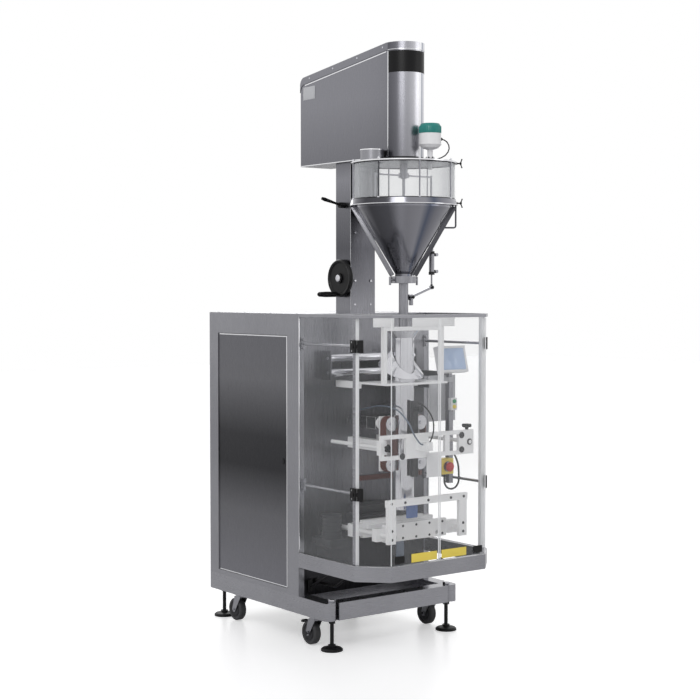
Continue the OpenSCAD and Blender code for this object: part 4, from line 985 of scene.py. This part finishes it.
def guard_pieces(s):
    """Sleeves, edges, screws and bare strips of the guard and its doors."""
    # The sleeves and the guard's rim take the white painted highlight of the acrylic edges
    sleeve = bar((-339.7, -475.9, 379), (-321.6, -457.4, 1350), 1.5)
    finish_piece(mirrored(sleeve), "post_sleeves", "machine", "glow")
    outline = [(-348, -103), (-348, -481.7), (-244.2, -585.5), (244.2, -585.5), (348, -481.7),
        (348, -103)]
    rim = strips([(x, y, GUARD_TOP_Z) for x, y in outline], (3, 1.2), (0, 0, 1))
    finish_piece(rim, "guard_rim", "machine", "glow")
    # The rail line is painted bright as a highlight
    line = strips([(x, y, GUARD_LOW_Z) for x, y in outline], (3, 1), (0, 0, 1))
    finish_piece(line, "rail_line", "machine", "edge")
    for side, name in ((-1, "left"), (1, "right")):
        door = name + "_door"
        # The door edges are white painted highlights
        rows = [
            bar((side * 4 - 2.6, -583.4, 382), (side * 4 + 2.6, -582.6, 1347), 0.3),
            bar((side * 246 - 2, -583.9, 382), (side * 246 + 2, -581.4, 1347), 0.6),
        ]
        finish_piece(joined(rows), name + "_door_edges", door, "glow")
        near, far = sorted((side * 12, side * 144))
        strip = bar((near, -583.5, 386), (far, -582.7, 386 + s.strip / MM), 0.3)
        finish_piece(strip, name + "_plain_strip", door, "yellow")
        knob = turned((side * 205, GUARD_FRONT_Y, 404), (0, -1, 0),
            [(0, 7), (0.8, 11), (3.4, 11), (4.3, 9)])
        finish_piece(knob, name + "_latch_knob", door, "black")
        places = [(side * 348.5, -462, z) for z in (643, 677, 1223, 1257)]
        heads = screws(places, (side, 0, 0), s.clamp_screw / MM)
        finish_piece(heads, name + "_clamp_screws", "machine", "bright")


def stop_shell():
    """Open-backed cover of the stop box, with a round hole for the button's stem."""
    (x0, y0, z0), (x1, y1, z1) = (217.4, -344.6, 683.4), (282.6, -297, 748.6)
    wall, gap = 1.6, 1.7
    walls = [
        bar((x0, y0, z0), (x0 + wall, y1, z1), 0.6),
        bar((x1 - wall, y0, z0), (x1, y1, z1), 0.6),
        bar((x0 + gap, y0, z0), (x1 - gap, y1, z0 + wall), 0.6),
        bar((x0 + gap, y0, z1 - wall), (x1 - gap, y1, z1), 0.6),
    ]
    face = bar((x0 + gap, y0, z0 + gap), (x1 - gap, y0 + gap, z1 - gap), 0.4)
    begin()
    bpy.ops.mesh.primitive_cylinder_add(
        vertices=48,
        radius=22 * MM,
        depth=20 * MM,
        location=(250 * MM, -343.7 * MM, 716 * MM),
        rotation=(math.radians(90), 0, 0),
    )
    cutter = bpy.context.object
    pick(face)
    apply_modifier(face, "BOOLEAN", object=cutter)
    bpy.data.objects.remove(cutter)
    return joined(walls + [face])


def control_pieces(s):
    """Screen glass, stop box, lamps and lead at the guard's right."""
    tilt = Matrix.Rotation(math.radians(-14), 4, "X")
    screen_at = (260, -322.5, 1161)
    glass = bar((-64.5, -45.2, -45.5), (64.5, -43.6, 45.5), 0.6)
    rim = joined([
        bar((-74.6, -47.2, -55.6), (74.6, -45.8, -47)),
        bar((-74.6, -47.2, 47), (74.6, -45.8, 55.6)),
    ])
    move_mesh(glass, screen_at, tilt)
    finish_piece(glass, "screen_glass", "touch_screen", "screen")
    move_mesh(rim, screen_at, tilt)
    finish_piece(rim, "screen_rim", "touch_screen", "ivory")
    rows = [bar((192, -291.9, 905), (338, -288.4, 1100), 1.6)]
    rows += [bar((x, -292.7, 912), (x + 2, -291.6, 1093), 0.3) for x in range(196, 333, 34)]
    finish_piece(joined(rows), "control_plate", "machine", "pale")
    finish_piece(stop_shell(), "stop_cover", "machine", "yellow")
    box = bar((276, -336, 952), (310, -316.8, 1004), 2)
    finish_piece(box, "lamp_box", "machine", "ivory")
    for name, z, finish in (("green_lamp", 990, "green"), ("yellow_lamp", 967, "yellow")):
        lamp = turned((293, -336.2, z), (0, -1, 0),
            [(0, 8.5), (3, 8.5), (3.6, 7), (7, 6.6), (8.6, 4)])
        finish_piece(lamp, name, "machine", finish)
    route = [(249, -324, 683.6), (249, -324, 668), (249.6, -324, 648.2), (256.1, -324.5, 632.6),
        (268.5, -325, 621.2), (288, -326, 616), (307.5, -327, 621.2), (319.9, -327.5, 632.6),
        (326.4, -328, 648.2), (327, -328, 680), (326, -326.5, 708), (322, -322, 735),
        (314.5, -314.5, 758), (304.3, -306, 775)]
    cord_piece("stop_lead", route, s.stop_lead / MM, "machine", "black")


def motor_covers(s):
    """Dark covers of the jaws' gear motor, its arm and the pull belts' motors."""
    fins = [(8.2 + 14 * k + step, radius) for k in range(s.motor_fins)
        for step, radius in ((0, 39.2), (0.3, 43.2), (6.3, 43.2), (6.6, 39.2))]
    upright = [(0, 43.2), (6, 43.2), (7, 39.2)] + fins + [(99.4, 30)]
    covers = [
        turned((-256, -202.5, 443), (0, 0, 1), upright, 40),
        bar((-299, -253.4, 409), (-213, -151.6, 445), 3),
        bar((-279, -153.5, 413), (-233, -103.2, 441), 1.5),
        bar((-112, -226, 428), (112, -103, 524), 6),
        bar((-90, -180, 524), (90, -103, 560), 4),
    ]
    body = [(0, 22.6), (6, 22.6), (8, 24.4), (20, 24.4), (22, 22.6), (60, 22.6), (62, 24.4),
        (80, 24.4), (82, 22.6), (134, 22.6)]
    for x in (-76.5, 76.5):
        covers.append(turned((x, -238, 915), (0, 1, 0), body, 32))
        covers.append(bar((x - 24.6, -298, 890.4), (x + 24.6, -237.4, 939.6), 2.5))
    finish_piece(joined(covers), "motor_covers", "machine", "motor")


def sealing_pieces(s):
    """Plates, covers, knobs, screws, duct, hoses and struts behind the guard."""
    plates = [bar((x0, -428, 1312), (x1, -424.8, 1349), 0.6)
        for x0, x1 in ((-214, -108), (-12, 214))]
    finish_piece(joined(plates), "bare_head_plates", "machine", "white")
    plate = bar((35, -463.2, 697), (114, -460.7, 793), 1)
    finish_piece(plate, "bare_bridge_plate", "machine", "ivory")
    motor_covers(s)
    front = (0, -1, 0)
    bridge_y = -460.7
    knobs = [
        lobed_knob((268, -443.5, 880.2), (0, 0, 1), s.star_knob / MM),
        lobed_knob((-178, bridge_y, 830), front, 17),
    ]
    finish_piece(joined(knobs), "star_knobs", "machine", "black")
    knob = turned((0, -450, 978), front, [(0, 8), (5, 9), (7, 13), (20, 13.5), (24, 10)])
    finish_piece(knob, "sealer_knob", "vertical_sealer", "black")
    bolts = [turned((x, bridge_y, z), front, [(0, 13), (3, 13), (4.4, 11), (4.4, 6), (3, 5.6)])
        for x, z in ((-92, 792), (268, 830), (225, 860), (225, 800))]
    finish_piece(joined(bolts), "bridge_bolts", "machine", "motor")
    places = [(x, -514.7, 614) for x in (-190, -120, 0, 120, 190)]
    places += [(x, -514.7, z) for x in (-187, 187) for z in (470, 505)]
    finish_piece(screws(places, front, 5.5), "yoke_screws", "machine", "motor")
    places = [(x, -438.7, z) for x in (-140, -70, 0, 70, 140) for z in (457, 506)]
    finish_piece(screws(places, front, 5), "jaw_screws", "front_jaw", "motor")
    pad = bar((-96, -498.3, 545), (-40, -487, 613), 5)
    finish_piece(pad, "blue_pad", "machine", "blue_pad")
    guide = bar((-92, -430, 362), (-56, -418.7, 447), 3)
    finish_piece(guide, "film_guide", "front_jaw", "bluegrey")
    rib = bar((0, -120.5, 0), (5, -118, 16), 0.6)
    duct = bar((-64, -118, 654), (300, -103, 674), 2)
    ribs = copies(rib, [(x, 0, 656) for x in range(-58, 284, 11)])
    finish_piece(joined([duct, ribs]), "cable_duct", "machine", "belt")
    # Stiff tubes from both ends of the sealer's cylinder, in an arch, to unions on the front plate
    left = [(-17.3, -500, 838), (-34, -500, 846), (-58, -494, 880), (-70, -470, 930),
        (-72, -400, 975), (-70, -300, 985), (-66, -200, 970), (-60, -103.2, 950)]
    right = [(17.3, -488, 838), (34, -488, 850), (56, -480, 890), (66, -460, 940),
        (70, -400, 985), (70, -300, 1000), (64, -200, 990), (50, -103.2, 970)]
    for name, route, finish in (("left", left, "bluegrey"), ("right", right, "black")):
        cord_piece("air_hose_" + name, route, s.air_hose / MM, "machine", finish)
    struts = [
        rod([(-296, -106, 232), (-296, -270, 316)], 5),
        rod([(-296, -106, 306), (-296, -180, 306)], 6),
        rod([(-262, -106, 250), (-262, -240, 250), (-262, -330, 308)], 6),
        bar((-306, -112, 214), (-286, -103, 262), 2),
        bar((-272, -112, 236), (-252, -103, 264), 2),
    ]
    finish_piece(mirrored(joined(struts)), "guard_struts", "machine", "black")


def reel_pieces():
    """Cardboard core and winding rings on both ends of the film reel."""
    # The rings are made upright at the origin, then laid along the reel's level axis
    axis = Matrix.Rotation(math.radians(90), 4, "Y")
    cores = [arc_sheet((0, 0), 43.5, z, z + 1.6, 6.5, 64) for z in (-210.8, 209.2)]
    rings = [arc_sheet((0, 0), radius, z, z + 1, 1.2, 72)
        for radius in (62, 78, 97, 113, 131, 146) for z in (-210.4, 209.4)]
    for rows, name, finish in ((cores, "reel_core", "card"), (rings, "reel_windings", "bluegrey")):
        ends = joined(rows)
        move_mesh(ends, (0, 377.5, 520), axis)
        finish_piece(ends, name, "film_reel", finish)


def base_pieces():
    """Hub caps, brake pedals and axle nuts of the castors; nuts of the front levelling feet."""
    rear_y, front_y = 425.5, -136.5
    for name, x, y in (("rear_left", -310, rear_y), ("rear_right", 310, rear_y),
            ("front_left", -310, front_y), ("front_right", 310, front_y)):
        caps = [turned((x + side * 11.2, y, 50), (side, 0, 0),
            [(0, 30), (1.6, 30), (3, 27), (3, 14), (4.6, 12), (4.6, 5.4)]) for side in (-1, 1)]
        finish_piece(joined(caps), name + "_hub_caps", name + "_wheel", "motor")
    for name, x in (("left", -310), ("right", 310)):
        nuts = [turned((x + side * 24.4, front_y, 50), (side, 0, 0),
            [(0, 7.4), (4, 7.4), (5, 6)], 6) for side in (-1, 1)]
        pedal = [
            bar((x - 11, -122, 92), (x + 11, -84, 96), 1.6),
            bar((x - 13, -92, 84), (x + 13, -80, 94), 2),
        ]
        fork = name + "_castor_fork"
        finish_piece(joined(nuts + pedal), name + "_castor_brake", fork, "motor")
    nuts = [turned((x, -272.5, 197.2), (0, 0, 1), [(0, 14), (2, 15), (9, 15), (11, 12.6)], 6)
        for x in (-305, 305)]
    finish_piece(joined(nuts), "foot_nuts", "machine", "bright")


# Operators


def need(*names):
    """Raises an error if a node is missing, or if the finishes haven't been made."""
    missing = [name for name in names if name not in NODES]
    if missing:
        raise RuntimeError("Missing nodes: " + ", ".join(missing))
    if not FINISH:
        raise RuntimeError("The finishes come first")


class BAGGER_OT_stage(bpy.types.Operator):
    """Set the floor, surround, lamps and camera"""

    bl_idname = "bagger.stage"
    bl_label = "Stage"

    def execute(self, context):
        s = context.scene.bagger_stage
        set_floor(s.floor)
        set_surround()
        add_lamp("key", (-3.5, -3.0, 4.2), 2.4, s.key)
        add_lamp("fill", (3.2, -4.0, 2.6), 2.0, s.fill)
        add_lamp("back", (1.5, 3.6, 3.6), 2.6, s.back)
        set_camera(s.eye, s.turn, s.dip, s.lens)
        context.scene.view_settings.view_transform = "Standard"
        return {"FINISHED"}


class BAGGER_OT_finishes(bpy.types.Operator):
    """Make the finishes and dress the machine's nodes"""

    bl_idname = "bagger.finishes"
    bl_label = "Finishes"

    def execute(self, context):
        make_finishes(context.scene.bagger_finishes)
        need(*NODE_FINISH)
        dress_nodes()
        return {"FINISHED"}


class BAGGER_OT_cabinet(bpy.types.Operator):
    """Add the cabinet's edge lines, locks and screws"""

    bl_idname = "bagger.cabinet"
    bl_label = "Cabinet details"

    def execute(self, context):
        need("cabinet_frame", "left_service_panel", "right_service_panel")
        cabinet_pieces(context.scene.bagger_details)
        return {"FINISHED"}


class BAGGER_OT_head(bpy.types.Operator):
    """Add the head's band, seams, plate and screws"""

    bl_idname = "bagger.head"
    bl_label = "Head details"

    def execute(self, context):
        need("head_housing")
        head_pieces(context.scene.bagger_details)
        return {"FINISHED"}


class BAGGER_OT_hopper(bpy.types.Operator):
    """Add the hopper's nuts, seals, latches and struts"""

    bl_idname = "bagger.hopper"
    bl_label = "Hopper details"

    def execute(self, context):
        need("hopper_cone", "hopper_window", "hopper_lid")
        hopper_pieces(context.scene.bagger_details)
        return {"FINISHED"}


class BAGGER_OT_sensor(bpy.types.Operator):
    """Add the level sensor's cap, fittings and lead"""

    bl_idname = "bagger.sensor"
    bl_label = "Level sensor"

    def execute(self, context):
        need("level_sensor", "sensor_cable")
        sensor_pieces(context.scene.bagger_details)
        return {"FINISHED"}


class BAGGER_OT_column(bpy.types.Operator):
    """Add the column's and the drip valve's fittings"""

    bl_idname = "bagger.column"
    bl_label = "Column details"

    def execute(self, context):
        need("column", "handwheel", "drip_arm", "drip_cylinder")
        column_pieces(context.scene.bagger_details)
        return {"FINISHED"}


class BAGGER_OT_guard(bpy.types.Operator):
    """Add the guard's sleeves, edges, knobs and strips"""

    bl_idname = "bagger.guard"
    bl_label = "Guard details"

    def execute(self, context):
        need("guard_frame", "left_guard_door", "right_guard_door", "hinge_clamps")
        guard_pieces(context.scene.bagger_details)
        return {"FINISHED"}


class BAGGER_OT_controls(bpy.types.Operator):
    """Add the screen's glass, the stop box's cover, the lamps and the stop lead"""

    bl_idname = "bagger.controls"
    bl_label = "Controls"

    def execute(self, context):
        need("control_bracket", "touch_screen", "stop_button")
        control_pieces(context.scene.bagger_details)
        return {"FINISHED"}


class BAGGER_OT_sealing(bpy.types.Operator):
    """Add the plates, covers, knobs, screws and hoses behind the guard"""

    bl_idname = "bagger.sealing"
    bl_label = "Sealing details"

    def execute(self, context):
        need("sealer_bridge", "vertical_sealer", "jaw_guides", "front_jaw")
        sealing_pieces(context.scene.bagger_details)
        return {"FINISHED"}


class BAGGER_OT_reel(bpy.types.Operator):
    """Add the film reel's core and windings"""

    bl_idname = "bagger.reel"
    bl_label = "Film reel"

    def execute(self, context):
        need("film_reel")
        reel_pieces()
        return {"FINISHED"}


class BAGGER_OT_base(bpy.types.Operator):
    """Add the castors' and feet's details"""

    bl_idname = "bagger.base"
    bl_label = "Base details"

    def execute(self, context):
        need("levelling_feet", "left_castor_fork", "right_castor_fork")
        base_pieces()
        return {"FINISHED"}


OPERATORS = [
    BAGGER_OT_stage, BAGGER_OT_finishes, BAGGER_OT_cabinet, BAGGER_OT_head, BAGGER_OT_hopper,
    BAGGER_OT_sensor, BAGGER_OT_column, BAGGER_OT_guard, BAGGER_OT_controls, BAGGER_OT_sealing,
    BAGGER_OT_reel, BAGGER_OT_base,
]
SETTINGS = {
    "bagger_stage": StageSettings,
    "bagger_finishes": FinishSettings,
    "bagger_details": DetailSettings,
}


class BAGGER_PT_panel(bpy.types.Panel):
    """Shows the machine's settings and lists its steps"""

    bl_idname = "BAGGER_PT_panel"
    bl_label = "Bagger"
    bl_space_type = "VIEW_3D"
    bl_region_type = "UI"
    bl_category = "Bagger"

    def draw(self, context):
        for key, group in SETTINGS.items():
            box = self.layout.box()
            for name in group.__annotations__:
                box.prop(getattr(context.scene, key), name)
        for operator in OPERATORS:
            self.layout.operator(operator.bl_idname)


CLASSES = [*SETTINGS.values(), *OPERATORS, BAGGER_PT_panel]


def register():
    for cls in CLASSES:
        bpy.utils.register_class(cls)
    for key, group in SETTINGS.items():
        setattr(bpy.types.Scene, key, bpy.props.PointerProperty(type=group))


def unregister():
    for key in SETTINGS:
        delattr(bpy.types.Scene, key)
    for cls in reversed(CLASSES):
        bpy.utils.unregister_class(cls)


def main():
    """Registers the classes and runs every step."""
    register()
    for operator in OPERATORS:
        group, name = operator.bl_idname.split(".")
        getattr(getattr(bpy.ops, group), name)()


if __name__ == "__main__":
    main()
